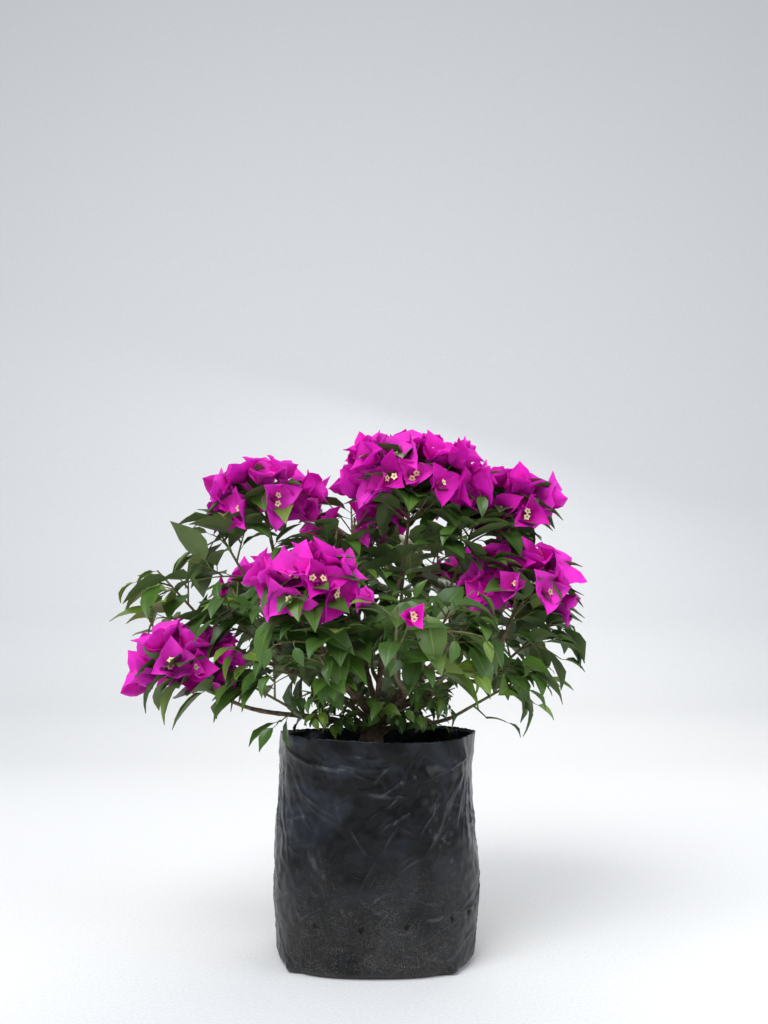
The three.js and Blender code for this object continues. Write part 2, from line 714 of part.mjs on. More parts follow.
// A bough's butt is cut back from its parent, and from the boughs beside it on the trunk.
const limbs = [limbRecord("trunk", trunkCurve, () => TRUNK.footRadius, 1)];
const swollen = [trunkSolid(GAP)];
for (const name of planned) {
  const mass = byName[name];
  if (!mass) continue;
  if (mass.bough) {
    const cut = boughSolid(mass).subtract(wasm.Manifold.union(swollen));
    addNode(`bough_${mass.name}`, mainPiece(cut.simplify(FINE)), "bark");
    swollen.push(boughSolid(mass, GAP));
    limbs.push(limbRecord("bough", mass.bough, boughRadius(mass), BOUGH.rows));
  }
  limbs.push(limbRecord(mass.name, mass.stem, stemRadius, STEM.rows));
}

MASSES.forEach((mass, index) => addNode(mass.name, massSolid(mass, limbs, 100 + index), mass.kind));

export default plant;
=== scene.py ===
# A bougainvillea bush in a black film nursery bag.
# Sizes are millimetres and become metres where a mesh is made. The front is at -Y.

import json
import math

import bmesh
import bpy
import numpy as np
from mathutils import Matrix, Vector, noise

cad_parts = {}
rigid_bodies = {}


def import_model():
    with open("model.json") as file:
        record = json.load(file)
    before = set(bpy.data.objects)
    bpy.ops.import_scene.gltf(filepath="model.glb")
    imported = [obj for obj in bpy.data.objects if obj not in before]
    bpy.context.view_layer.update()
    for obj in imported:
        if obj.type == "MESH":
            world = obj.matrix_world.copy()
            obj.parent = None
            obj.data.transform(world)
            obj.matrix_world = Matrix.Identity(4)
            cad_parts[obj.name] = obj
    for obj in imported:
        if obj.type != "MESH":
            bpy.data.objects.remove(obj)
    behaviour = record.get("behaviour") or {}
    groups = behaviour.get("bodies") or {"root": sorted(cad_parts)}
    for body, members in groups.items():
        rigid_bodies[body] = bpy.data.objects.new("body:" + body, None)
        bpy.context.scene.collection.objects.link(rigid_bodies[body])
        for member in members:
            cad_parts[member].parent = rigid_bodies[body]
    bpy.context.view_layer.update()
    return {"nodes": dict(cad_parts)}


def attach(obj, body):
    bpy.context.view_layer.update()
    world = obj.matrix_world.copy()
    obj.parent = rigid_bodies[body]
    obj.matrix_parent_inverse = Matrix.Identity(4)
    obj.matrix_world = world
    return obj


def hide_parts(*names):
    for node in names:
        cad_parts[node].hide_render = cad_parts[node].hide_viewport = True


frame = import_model()

# The nursery bag
# A gusseted tube of black polyethylene film, welded at the foot, with drain holes punched low in
# its side. Soil rounds it out, and the film is drawn into creases where it hangs from its rim.

MM = 0.001
BAG_RIM = 232
FOOT_HALF, FOOT_ROUND = 97, 15
SIDE_HALF = 109
BELLY_HALF, BELLY_HEIGHT = 113, 64
WAIST_HALF, WAIST_HEIGHT = 107.5, 190
RIM_HALF = 109
FOOT_POWER, RIM_POWER = 2.9, 2.15
RIM_CREASE = 3.5
SLUMP = 1.5
RIM_WAVE = 2.2
SOIL_LEVEL = 212
FILM_THICK = 0.35
FILM_STEPS = 440
UNDERSIDE_ROWS, SIDE_ROWS, INSIDE_ROWS = 5, 172, 8
INSIDE_LOW = 200  # the film's inner face is made down to here, under the top of the soil

# Creases are told as two ends, each in degrees right of the front and height, then how far the
# crest stands out and how wide it is.
CREASES = [
    ((-60, 219), (-11, 200), 1.9, 2.4),
    ((-14, 201), (2, 190), 1.2, 2.0),
    ((-25, 221), (8, 212), 0.9, 3.2),
    ((-24, 207), (13, 204), 0.8, 2.6),
    ((-10, 182), (18, 176), 1.2, 4.0),
    ((-49, 184), (-21, 155), 1.8, 2.2),
    ((-46, 176), (-18, 146), 1.1, 1.8),
    ((-14, 147), (-3, 118), 1.8, 1.2),
    ((19, 160), (8, 146), 1.8, 1.7),
    ((42, 150), (26, 117), 1.6, 1.8),
    ((26, 117), (12, 101), 1.2, 1.6),
    ((60, 196), (37, 143), 1.9, 2.0),
    ((63, 190), (47, 140), 1.7, 1.8),
    ((66, 188), (57, 118), 1.8, 2.2),
    ((72, 192), (69, 120), 1.6, 2.4),
    ((-69, 200), (-52, 120), 1.6, 2.2),
    ((-76, 190), (-66, 110), 1.5, 2.4),
    ((-55, 138), (-49, 106), 1.2, 1.6),
    ((-37, 122), (-25, 95), 1.8, 2.2),
    ((24, 56), (41, 58), 1.8, 1.3),
    ((41, 58), (74, 70), 2.4, 1.5),
    ((62, 34), (50, 27), 1.5, 1.6),
    ((50, 27), (38, 10), 1.5, 1.8),
    ((-70, 58), (-44, 82), 1.3, 3.0),
    ((-60, 30), (-44, 8), 1.6, 2.0),
    ((-52, 24), (-34, 6), 1.3, 1.8),
    ((120, 216), (165, 190), 1.8, 2.4),
    ((240, 214), (205, 180), 1.7, 2.4),
    ((118, 170), (150, 120), 1.6, 2.2),
    ((238, 160), (214, 110), 1.5, 2.2),
]
# Where the slack film laps over itself, its edge stands clear of the film below.
# A lap has two ends, then how far its edge stands out and how soon the film falls back above it.
LAPS = [
    ((66, 211), (22, 188), 3.6, 30),
    ((24, 189), (4, 178), 1.8, 24),
    ((128, 196), (168, 178), 2.6, 28),
]
SMALL_CREASES = 260
RELIEF = 1.25  # how strongly creases and laps stand out in all
CREASE_BOW, CREASE_TAPER = 0.05, 0.6
GROOVE_DEEP, GROOVE_WIDE = 0.35, 3  # the groove that runs along both sides of a crest
LUMPS = 1.5  # how far lumps of soil push the film out
SCUFF_AND_HIGHLIGHT_CREST, SCUFF_AND_HIGHLIGHT_NARROW = 1.8, 1.5  # a crest this high is fully scuffed pale, partly as a painted highlight, and lower ones far less
HOLES = [(-88, 60), (-30, 51), (-7, 49), (16, 51), (41, 54), (54, 56), (84, 66)]
HOLES += [(110 + 26 * i, 50 + 3 * (i % 3)) for i in range(6)]
HOLE_RADIUS, HOLE_DEEP = 3.3, 3.2
TEAR = (143, 6.5, 5.0)  # degrees right of the front, width and depth of the torn notch in the rim
EAR_ANGLES, EAR_REACH, EAR_HIGH = (-47, 42, 133, -138), 6.5, 13


def smooth(value, low, high):
    share = np.clip((value - low) / (high - low), 0, 1)
    return share * share * (3 - 2 * share)


def seeded(seed):
    """A small random generator that gives the same draws each time."""
    state = [seed]

    def draw():
        state[0] = (state[0] * 1664525 + 1013904223) % 2**32
        return state[0] / 2**32

    return draw


def bag_half(height):
    up = 1 - np.clip(height, 0, FOOT_ROUND) / FOOT_ROUND
    half = FOOT_HALF + (SIDE_HALF - FOOT_HALF) * np.sqrt(1 - up * up)
    half = half + (BELLY_HALF - SIDE_HALF) * smooth(height, FOOT_ROUND, BELLY_HEIGHT)
    half = half + (WAIST_HALF - BELLY_HALF) * smooth(height, BELLY_HEIGHT, WAIST_HEIGHT)
    return half + (RIM_HALF - WAIST_HALF) * smooth(height, WAIST_HEIGHT, BAG_RIM)


def bag_plan(angle, height):
    """How much further out the bag reaches than a circle."""
    share = np.clip(height / BAG_RIM, 0, None)
    power = FOOT_POWER + (RIM_POWER - FOOT_POWER) * np.sqrt(share)
    c, s = np.abs(np.cos(angle)), np.abs(np.sin(angle))
    square = (c**power + s**power) ** (-1 / power)
    crease = RIM_CREASE * share * np.exp(-((s / 0.22) ** 2)) / RIM_HALF
    rise = np.sin(np.pi * np.minimum(1, share * 1.1))
    return square + crease + SLUMP * rise * np.sin(3 * angle + height / 34) / RIM_HALF


def turned_body(profile, steps):
    """Spins a chain of (radius, height) points round the upright axis."""
    bm = bmesh.new()
    chain = [bm.verts.new((radius, 0, height)) for radius, height in profile]
    edges = [bm.edges.new(pair) for pair in zip(chain, chain[1:])]
    bmesh.ops.spin(bm, geom=chain + edges, axis=(0, 0, 1), cent=(0, 0, 0),
                   angle=2 * math.pi, steps=steps, use_merge=True)
    bmesh.ops.remove_doubles(bm, verts=bm.verts, dist=0.01)
    bmesh.ops.recalc_face_normals(bm, faces=bm.faces)
    return bm


def places_of(bm):
    return np.array([v.co for v in bm.verts])


def place(bm, points):
    for vert, point in zip(bm.verts, points):
        vert.co = point


def finished(bm, name, *materials):
    """Turns a bmesh in millimetres into a smooth-shaded object in metres."""
    mesh = bpy.data.meshes.new(name)
    bm.to_mesh(mesh)
    bm.free()
    mesh.transform(Matrix.Scale(MM, 4))
    return shown(mesh, name, *materials)


def shown(mesh, name, *materials):
    mesh.shade_smooth()
    for material in materials:
        mesh.materials.append(material)
    piece = bpy.data.objects.new(name, mesh)
    bpy.context.scene.collection.objects.link(piece)
    return piece


def from_front(angle):
    """Degrees right of the front, from -180 to 180, for an angle round the bag."""
    return (np.degrees(angle) + 90 + 180) % 360 - 180


def along_line(turn, height, start, end):
    """For each place on the film: the share of the way from start to end, and the distance to the
    left of that line, in millimetres round the bag."""
    mm_per_degree = math.radians(1) * WAIST_HALF
    x = ((turn - start[0] + 180) % 360 - 180) * mm_per_degree
    z = height - start[1]
    run = np.array([(end[0] - start[0]) * mm_per_degree, end[1] - start[1]])
    length = np.hypot(*run)
    share = (x * run[0] + z * run[1]) / length**2
    return share, (run[0] * z - run[1] * x) / length, length


def crease_height(turn, height, start, end, high, wide):
    share, aside, length = along_line(turn, height, start, end)
    bowed = aside + CREASE_BOW * length * np.sin(np.pi * np.clip(share, 0, 1))
    taper = np.sin(np.pi * np.clip(share, 0, 1)) ** CREASE_TAPER
    groove = GROOVE_DEEP * np.exp(-((bowed / (GROOVE_WIDE * wide)) ** 2))
    return high * taper * (np.exp(-np.abs(bowed) / wide) - groove)


def lap_height(turn, height, start, end, high, run):
    share, aside, length = along_line(turn, height, start, end)
    above = -aside if end[0] < start[0] else aside
    taper = smooth(share, -0.02, 0.15) * (1 - smooth(share, 0.8, 1.02))
    return high * taper * smooth(above, -0.9, 0.9) * np.exp(-np.clip(above, 0, None) / run)


def film_creases(turn, height):
    """How far the creases push the film out: the long ones, then many small ones."""
    relief = np.zeros(len(turn))
    for crease in CREASES:
        relief += crease_height(turn, height, *crease)
    draw = seeded(7)
    for _ in range(SMALL_CREASES):
        at = (360 * draw() - 180, 12 + 215 * draw())
        steep = math.radians(25 + 50 * draw())
        span = 14 + 40 * draw()
        side = -1 if 0 < at[0] < 90 or at[0] < -90 else 1
        if draw() < 0.25:
            side, steep = -side, steep * 0.5
        end = (at[0] + side * span * math.cos(steep) / 1.9, at[1] - span * math.sin(steep))
        relief += crease_height(turn, height, at, end, 0.5 + 0.9 * draw(), 0.8 + 1.1 * draw())
    return RELIEF * relief


def film_body():
    underside = [(FOOT_HALF * i / UNDERSIDE_ROWS, 0) for i in range(UNDERSIDE_ROWS)]
    heights = [BAG_RIM * (i / SIDE_ROWS) ** 1.05 for i in range(SIDE_ROWS + 1)]
    outside = [(float(bag_half(z)), z) for z in heights]
    lower = [BAG_RIM - (BAG_RIM - INSIDE_LOW) * i / INSIDE_ROWS for i in range(INSIDE_ROWS + 1)]
    inside = [(float(bag_half(z)) - FILM_THICK, z) for z in lower]
    bm = turned_body(underside + outside + inside + [(0, INSIDE_LOW)], FILM_STEPS)
    points = places_of(bm)
    angle = np.arctan2(points[:, 1], points[:, 0])
    turn, height = from_front(angle), points[:, 2]
    lumps = np.array([noise.noise(Vector(p) / 26) + 0.5 * noise.noise(Vector(p) / 9) for p in points])
    slack = smooth(height, SOIL_LEVEL - 14, BAG_RIM)
    free = np.sin(5 * angle + 1.2) * 1.6 + np.sin(11 * angle + height / 9) * 0.9
    creases = film_creases(turn, height)
    laps = RELIEF * sum(lap_height(turn, height, *lap) for lap in LAPS)
    relief = (creases + laps + LUMPS * lumps * (1 - slack) + slack * free) * smooth(height, 0, 9)
    for ear in EAR_ANGLES:
        aside = (turn - ear + 180) % 360 - 180
        fold = np.exp(-((aside / 4.0) ** 2)) * smooth(height, -3, 2) * (1 - smooth(height, 3, EAR_HIGH))
        relief += EAR_REACH * fold
    out = np.hypot(points[:, 0], points[:, 1])
    # Crest heights go into an attribute for pale scuffs along the creases, which are partly a painted
    # crease highlight.
    crest_scuff_and_highlight = bm.verts.layers.float.new("crest_scuff_and_highlight")
    for vert, crest in zip(bm.verts, creases):
        vert[crest_scuff_and_highlight] = min(1.0, max(0.0, crest / SCUFF_AND_HIGHLIGHT_CREST)) ** SCUFF_AND_HIGHLIGHT_NARROW
    reach = out * bag_plan(angle, height) + relief * (out > FOOT_HALF - 1)
    wave = smooth(height, SOIL_LEVEL, BAG_RIM) * RIM_WAVE * np.sin(2 * angle + 0.6)
    notch = np.clip(1 - np.abs((turn - TEAR[0]) * 1.9) / TEAR[1], 0, 1)
    nicks = 0.5 * np.sin(turn * 0.9) * np.sin(turn * 0.37) - TEAR[2] * notch
    top = smooth(height, BAG_RIM - 7, BAG_RIM)
    place(bm, np.stack([reach * np.cos(angle), reach * np.sin(angle), height + wave + top * nicks], 1))
    return bm


def punch_holes(bm):
    """Pushes the film in at each drain hole, as a ragged pit."""
    for turn, height in HOLES:
        angle = math.radians(turn - 90)
        out = float(bag_half(height) * bag_plan(angle, height))
        centre = Vector((out * math.cos(angle), out * math.sin(angle), height))
        inward = Vector((-math.cos(angle), -math.sin(angle), 0))
        torn = [f for f in bm.faces if (f.calc_center_median() - centre).length
                < HOLE_RADIUS * (0.9 + 0.6 * noise.noise(f.calc_center_median() / 1.7))]
        made = bmesh.ops.extrude_face_region(bm, geom=torn)["geom"]
        bmesh.ops.delete(bm, geom=torn, context="FACES")
        bmesh.ops.translate(bm, verts=[v for v in made if isinstance(v, bmesh.types.BMVert)],
                            vec=inward * HOLE_DEEP)


def linear(code):
    """A hex sRGB colour as linear red, green, blue and alpha."""
    parts = [int(code[i:i + 2], 16) / 255 for i in (1, 3, 5)]
    return tuple(c / 12.92 if c <= 0.04045 else ((c + 0.055) / 1.055) ** 2.4 for c in parts) + (1,)


def add_node(material, kind, inputs=None, **settings):
    """Adds a shader node with its settings. Inputs are values, outputs of other nodes, or nodes,
    which stand for their first output."""
    made = material.node_tree.nodes.new("ShaderNode" + kind)
    for name, value in settings.items():
        setattr(made, name, value)
    for name, value in (inputs or {}).items():
        value = value.outputs[0] if isinstance(value, bpy.types.Node) else value
        if isinstance(value, bpy.types.NodeSocket):
            material.node_tree.links.new(value, made.inputs[name])
        else:
            made.inputs[name].default_value = value
    return made


def new_material(name):
    """An empty node material, and the place on the object as the source of its patterns."""
    material = bpy.data.materials.new(name)
    material.use_nodes = True
    material.node_tree.nodes.clear()
    return material, add_node(material, "TexCoord").outputs["Object"]


# Blown polyethylene film: black, with a painted blue-grey sheen in patches that grows stronger towards
# the top, scuffed pale along its crease crests, partly as a painted crease highlight, and dusty brown low
# down, where soil has splashed and dried on it.
def film_finish():
    material, at = new_material("blown_polyethylene_film")
    height = add_node(material, "SeparateXYZ", {"Vector": at}).outputs["Z"]
    low = add_node(material, "MapRange",
                   {"Value": height, "From Min": 0.135, "From Max": 0.0, "To Max": 0.8})
    smears = add_node(material, "TexNoise",
                      {"Vector": at, "Scale": 22.0, "Detail": 6.0, "Roughness": 0.65})
    patchy = add_node(material, "MapRange", {"Value": smears, "From Min": 0.3, "From Max": 0.66})
    powder = add_node(material, "TexNoise",
                      {"Vector": at, "Scale": 520.0, "Detail": 3.0, "Roughness": 0.7})
    grainy = add_node(material, "MapRange",
                      {"Value": powder, "From Min": 0.4, "From Max": 0.62, "To Min": 0.35, "To Max": 1.3})
    coated = add_node(material, "Math", {0: patchy, 1: grainy}, operation="MULTIPLY")
    dusty = add_node(material, "Math", {0: low, 1: coated}, operation="MULTIPLY")
    grit = add_node(material, "TexVoronoi", {"Vector": at, "Scale": 650.0})
    speck = add_node(material, "MapRange", {"Value": grit, "From Min": 0.3, "From Max": 0.18})
    chance = add_node(material, "TexNoise", {"Vector": at, "Scale": 120.0, "Detail": 3.0})
    some = add_node(material, "MapRange", {"Value": chance, "From Min": 0.42, "From Max": 0.66})
    low_some = add_node(material, "Math", {0: some, 1: low}, operation="MULTIPLY")
    specks = add_node(material, "Math", {0: speck, 1: low_some}, operation="MULTIPLY")
    # Pale scuffs on crease crests, in patches: partly real scuffing and partly a painted crease
    # highlight.
    crest = add_node(material, "Attribute", attribute_name="crest_scuff_and_highlight").outputs["Fac"]
    scuff_and_highlight_noise = add_node(material, "TexNoise", {"Vector": at, "Scale": 48.0, "Detail": 4.0})
    scuff_and_highlight_patches = add_node(material, "MapRange",
                    {"Value": scuff_and_highlight_noise, "From Min": 0.36, "From Max": 0.7, "To Max": 0.6})
    scuffs_and_highlights = add_node(material, "Math", {0: crest, 1: scuff_and_highlight_patches}, operation="MULTIPLY")
    # Painted sheen: a blue-grey reflection painted into the film's colour, in patches and stronger
    # towards the top.
    high = add_node(material, "MapRange",
                    {"Value": height, "From Min": 0.1, "From Max": 0.2, "To Min": 0.35, "To Max": 1.0})
    sheen_noise = add_node(material, "TexNoise",
                     {"Vector": at, "Scale": 17.0, "Detail": 6.0, "Roughness": 0.62, "Distortion": 1.2})
    sheen_patches = add_node(material, "MapRange", {"Value": sheen_noise, "From Min": 0.42, "From Max": 0.74})
    painted_sheen = add_node(material, "Math", {0: sheen_patches, 1: high}, operation="MULTIPLY")
    film = add_node(material, "MixRGB",
                    {"Fac": painted_sheen, "Color1": linear("#050607"), "Color2": linear("#2e343e")})
    dust = add_node(material, "MixRGB", {"Fac": dusty, "Color1": film, "Color2": linear("#444240")})
    scuffed_and_highlighted = add_node(material, "MixRGB",
                       {"Fac": scuffs_and_highlights, "Color1": dust, "Color2": linear("#7c8289")})
    colour = add_node(material, "MixRGB",
                      {"Fac": specks, "Color1": scuffed_and_highlighted, "Color2": linear("#85827b")})
    rough = add_node(material, "MapRange", {"Value": dusty, "To Min": 0.27, "To Max": 0.7})
    crinkle = add_node(material, "TexNoise",
                       {"Vector": at, "Scale": 32.0, "Detail": 5.0, "Roughness": 0.55, "Distortion": 0.7},
                       noise_type="RIDGED_MULTIFRACTAL")
    bump = add_node(material, "Bump", {"Height": crinkle, "Strength": 0.9, "Distance": 0.002})
    shader = add_node(material, "BsdfPrincipled",
                      {"Base Color": colour, "Roughness": rough, "IOR": 1.51,
                       "Specular IOR Level": 0.2, "Normal": bump})
    add_node(material, "OutputMaterial", {"Surface": shader})
    return material


film_mesh = film_body()
punch_holes(film_mesh)
bag_film = finished(film_mesh, "bag_film", film_finish())
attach(bag_film, "root")
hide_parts("bag")

# The potting soil
# Dark crumbly soil with bits of husk fills the bag to a finger's width below its rim. It is one
# turned body just inside the film, with clods raised on its top and loose crumbs laid on them.

SOIL_INSET = 4.2
SOIL_STEPS = 120
SOIL_HEIGHTS = (3, 6, 12, 30, 64, 110, 150, 190, 204)
SOIL_EDGE, SOIL_EDGE_LEVEL, SOIL_MOUND = 104, SOIL_LEVEL - 8, 7
SOIL_TOP_HALF = 98
CLODS_ABOVE, CLOD_HEIGHT = 200, 3.2
CRUMBS = 420


def soil_top(out):
    """The height of the soil's top, which is mounded a little towards the trunk."""
    return SOIL_EDGE_LEVEL + SOIL_MOUND * (1 - out / SOIL_EDGE)


def soil_body():
    foot = [(0, 1.5), (FOOT_HALF - SOIL_INSET, 1.5)]
    side = [(float(bag_half(z)) - SOIL_INSET, z) for z in SOIL_HEIGHTS]
    top = [(out, soil_top(out)) for out in range(SOIL_TOP_HALF, 0, -4)]
    bm = turned_body(foot + side + top + [(0, SOIL_LEVEL)], SOIL_STEPS)
    points = places_of(bm)
    angle = np.arctan2(points[:, 1], points[:, 0])
    plan = bag_plan(angle, points[:, 2])
    clods = np.array([noise.noise(Vector(p) / 11) + 0.6 * noise.noise(Vector(p) / 4) for p in points])
    lift = np.where(points[:, 2] > CLODS_ABOVE, CLOD_HEIGHT * clods, 0)
    place(bm, np.stack([points[:, 0] * plan, points[:, 1] * plan, points[:, 2] + lift], 1))
    return bm


def add_crumbs(bm):
    draw = seeded(21)
    for _ in range(CRUMBS):
        out, angle = SOIL_TOP_HALF * math.sqrt(draw()), 2 * math.pi * draw()
        size = 1.2 + 3.2 * draw() ** 2
        made = bmesh.ops.create_icosphere(bm, subdivisions=1, radius=size)["verts"]
        level = soil_top(out) + 0.5
        for v in made:
            v.co *= 1 + 0.35 * noise.noise(v.co * 0.6 + Vector((out, angle, 0)))
            v.co.z *= 0.7
            v.co += Vector((out * math.cos(angle), out * math.sin(angle), level))
    return bm


# Moist peat and coir: nearly black brown, quite matt, with paler fibres.
def soil_finish():
    material, at = new_material("potting_soil")
    grain = add_node(material, "TexNoise", {"Vector": at, "Scale": 320.0, "Detail": 6.0})
    colour = add_node(material, "MixRGB",
                      {"Fac": grain, "Color1": linear("#15100c"), "Color2": linear("#4a3a2b")})
    bump = add_node(material, "Bump", {"Height": grain, "Strength": 0.8, "Distance": 0.002})
    shader = add_node(material, "BsdfPrincipled",
                      {"Base Color": colour, "Roughness": 0.95, "Normal": bump})
    add_node(material, "OutputMaterial", {"Surface": shader})
    return material


soil_fill = finished(add_crumbs(soil_body()), "soil_fill", soil_finish())
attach(soil_fill, "root")
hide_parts("soil")

# The trunk and the plan of the boughs
# A short woody trunk leans a little to the right and forks low. Each bough leaves it, or another
# bough, and bends towards its own mass of leaves or bracts, where its stem carries on.

UP = np.array([0.0, 0.0, 1.0])
RIGHT = np.array([1.0, 0.0, 0.0])
GOLDEN_ANGLE = math.pi * (3 - math.sqrt(5))
TRUNK_FOOT = np.array([-8.0, 2.0, SOIL_LEVEL])
TRUNK_TOP = np.array([2.0, 0.0, 260.0])
TRUNK_FOOT_RADIUS, TRUNK_TOP_RADIUS = 12.5, 9
FLARE, FLARE_HEIGHT, ROOTS, ROOT_OUT = 0.52, 8, 5, 0.22
BUTT_RADIUS, BRANCH_RADIUS, TIP_RADIUS = 3.8, 2.7, 1.9
COLLAR, COLLAR_LENGTH = 0.35, 6  # the swelling where a bough leaves its limb
BEND = 0.36  # how far a bough keeps its way at each end, as a share of its span
RISE = 0.75
STEM_TIP_RADIUS = 1.1
STEM_REACH, BRACT_STEM_REACH = 0.6, 0.3
ENTRY = 0.8  # the share of a mass's own reach at which its bough ends
HEART = np.array([0.0, 0.0, 262.0])
BARK_SIDES, BARK_STEP, TRUNK_ROWS = 14, 3.5, 24
JOINT_APART, JOINT_LONG = 21, 2.4  # swellings along a bough where leaves once stood
THIN_LIMB = 6  # only limbs thinner than this have them

# Each mass: kind, name, centre, half sizes along X, Y and Z, the limb that its bough leaves with
# the share of that limb's length, how many twigs or threes of bracts it carries, the share of its
# leaves that are young and light green, whether its leaves and bracts are small, and how far it
# turns upwards as it grows out.
MASSES = {}


def add_mass(kind, name, centre, half, parent, at, count, young=0.05, small=False, lift=None):
    MASSES[f"{kind}_{name}"] = {
        "kind": kind, "name": f"{kind}_{name}", "middle": np.array(centre, float),
        "half": np.array(half, float), "parent": parent, "at": at, "count": count,
        "young": young, "small": small, "lift": lift or (0.6 if kind == "bracts" else 0.3),
    }


add_mass("bracts", "top_left", [-136, 0, 504], [84, 66, 54], "trunk", 0.93, 20)
add_mass("bracts", "top_main", [40, -34, 520], [104, 82, 60], "trunk", 1, 50)
add_mass("bracts", "top_right", [162, 6, 494], [70, 64, 60], "trunk", 0.9, 23)
add_mass("bracts", "front_left", [-68, -128, 390], [70, 58, 52], "trunk", 0.66, 18)
add_mass("bracts", "right", [168, -34, 398], [80, 66, 54], "trunk", 0.6, 20)
add_mass("bracts", "left_low", [-214, -64, 304], [78, 66, 56], "trunk", 0.3, 18, young=0.2, lift=0.3)
add_mass("bracts", "back_top", [-34, 112, 500], [82, 70, 58], "trunk", 0.95, 17)
add_mass("bracts", "back_left", [-156, 136, 406], [76, 68, 56], "trunk", 0.55, 15)
add_mass("bracts", "back_right", [126, 152, 418], [78, 68, 56], "trunk", 0.64, 16)
add_mass("bracts", "middle", [-26, -2, 470], [54, 50, 44], "bracts_back_top", 0.6, 4, small=True)
add_mass("bracts", "front", [22, -166, 354], [54, 48, 46], "leaves_front_right", 0.72, 3, 0.2, True)
add_mass("leaves", "left_high", [-172, -8, 440], [82, 74, 68], "bracts_top_left", 0.58, 4, 0.15)
add_mass("leaves", "left_far", [-235, 2, 392], [74, 66, 56], "leaves_left_mid", 0.7, 5, 0.8)
add_mass("leaves", "left_mid", [-144, -58, 348], [78, 70, 64], "bracts_top_left", 0.3, 6, 0.3)
add_mass("leaves", "left_low", [-112, -68, 274], [78, 68, 58], "bracts_left_low", 0.4, 3, 0)
add_mass("leaves", "middle", [-42, -14, 418], [84, 80, 68], "bracts_top_main", 0.35, 8, 0.06)
add_mass("leaves", "right_high", [102, -18, 438], [88, 78, 66], "bracts_top_right", 0.5, 7)
add_mass("leaves", "front_left", [-62, -106, 324], [76, 68, 62], "bracts_front_left", 0.42, 8)
add_mass("leaves", "front_right", [62, -104, 334], [82, 72, 68], "trunk", 0.5, 8, 0.06)
add_mass("leaves", "right_mid", [174, -4, 332], [76, 70, 62], "bracts_right", 0.5, 6)
add_mass("leaves", "right_low", [136, -46, 280], [76, 66, 54], "trunk", 0.3, 4)
add_mass("leaves", "back_left", [-112, 116, 330], [86, 82, 72], "bracts_back_left", 0.45, 7, 0.1)
add_mass("leaves", "back_right", [114, 112, 336], [88, 82, 72], "bracts_back_right", 0.45, 7)
add_mass("leaves", "back_high", [36, 126, 428], [84, 76, 66], "bracts_back_top", 0.5, 6)
add_mass("leaves", "back_low", [2, 164, 300], [74, 70, 58], "trunk", 0.36, 6)
add_mass("leaves", "heart", [-8, 24, 350], [74, 70, 58], "bracts_top_main", 0.12, 11)
add_mass("leaves", "foot_left", [-46, -46, 266], [50, 46, 32], "trunk", 0.4, 17, 0.08, True)
add_mass("leaves", "foot_right", [54, -40, 266], [52, 46, 32], "trunk", 0.1, 17, 0.08, True)


def unit(vector):
    return vector / np.linalg.norm(vector)


def bezier(*controls):
    """A curve as a function of the share of its length, from its control points."""
    controls = np.array(controls, float)

    def at(share):
        points = controls
        while len(points) > 1:
            points = points[:-1] + (points[1:] - points[:-1]) * share
        return points[0]

    at.slope = lambda share: unit(bezier(*np.diff(controls, axis=0))(share))
    return at


def reach_of(mass, direction):
    return 1 / np.linalg.norm(direction / mass["half"])


def outwards(mass):
    flat = unit(mass["middle"] * [1, 1, 0])
    return unit(flat + UP * RISE)


def plan_stem(mass, foot, leaving):
    share = BRACT_STEM_REACH if mass["kind"] == "bracts" else STEM_REACH
    top = mass["middle"] + mass["grow"] * share * reach_of(mass, mass["grow"])
    mass["stem"] = bezier(foot, foot + leaving * 0.5 * np.linalg.norm(top - foot), top)


def plan_bough(mass, limbs):
    """Sets the way a mass grows, the curve of its bough and the stem that carries on from it."""
    parent, at = limbs[mass["parent"]], mass["at"]
    on_trunk = mass["parent"] == "trunk"
    lift = mass["lift"]
    mass["grow"] = unit(unit(mass["middle"] - HEART) * (1 - lift) + UP * lift)
    if on_trunk and mass["small"]:
        plan_stem(mass, parent(at), outwards(mass))
        return
    entry = mass["middle"] - mass["grow"] * ENTRY * reach_of(mass, mass["grow"])
    start = parent(at)
    span = np.linalg.norm(entry - start)
    branch = unit(parent.slope(at) * 0.4 + unit(entry - start))
    leaving = UP if on_trunk and at == 1 else outwards(mass) if on_trunk else branch
    arriving = mass["grow"]
    mass["bough"] = bezier(start, start + leaving * span * BEND, entry - arriving * span * BEND, entry)
    limbs[mass["name"]] = mass["bough"]
    plan_stem(mass, entry, mass["grow"])


def curve_length(curve):
    points = np.array([curve(i / 16) for i in range(17)])
    return np.linalg.norm(np.diff(points, axis=0), axis=1).sum()


def bough_radius(mass, share):
    butt = BUTT_RADIUS if mass["parent"] == "trunk" else BRANCH_RADIUS
    swell = COLLAR * np.exp(-share * curve_length(mass["bough"]) / COLLAR_LENGTH)
    return (butt + (TIP_RADIUS - butt) * share) * (1 + swell)


def wrapped_grid(bm, sides, rows):
    """A sheet of rows rolled into a closed tube. Returns its corners, with the share of a turn and
    the share of its length of each."""
    made = bmesh.ops.create_grid(bm, x_segments=sides, y_segments=rows, size=0.5)["verts"]
    shares = np.array([(v.co.x + 0.5, v.co.y + 0.5) for v in made])
    return made, shares[:, 0], shares[:, 1]


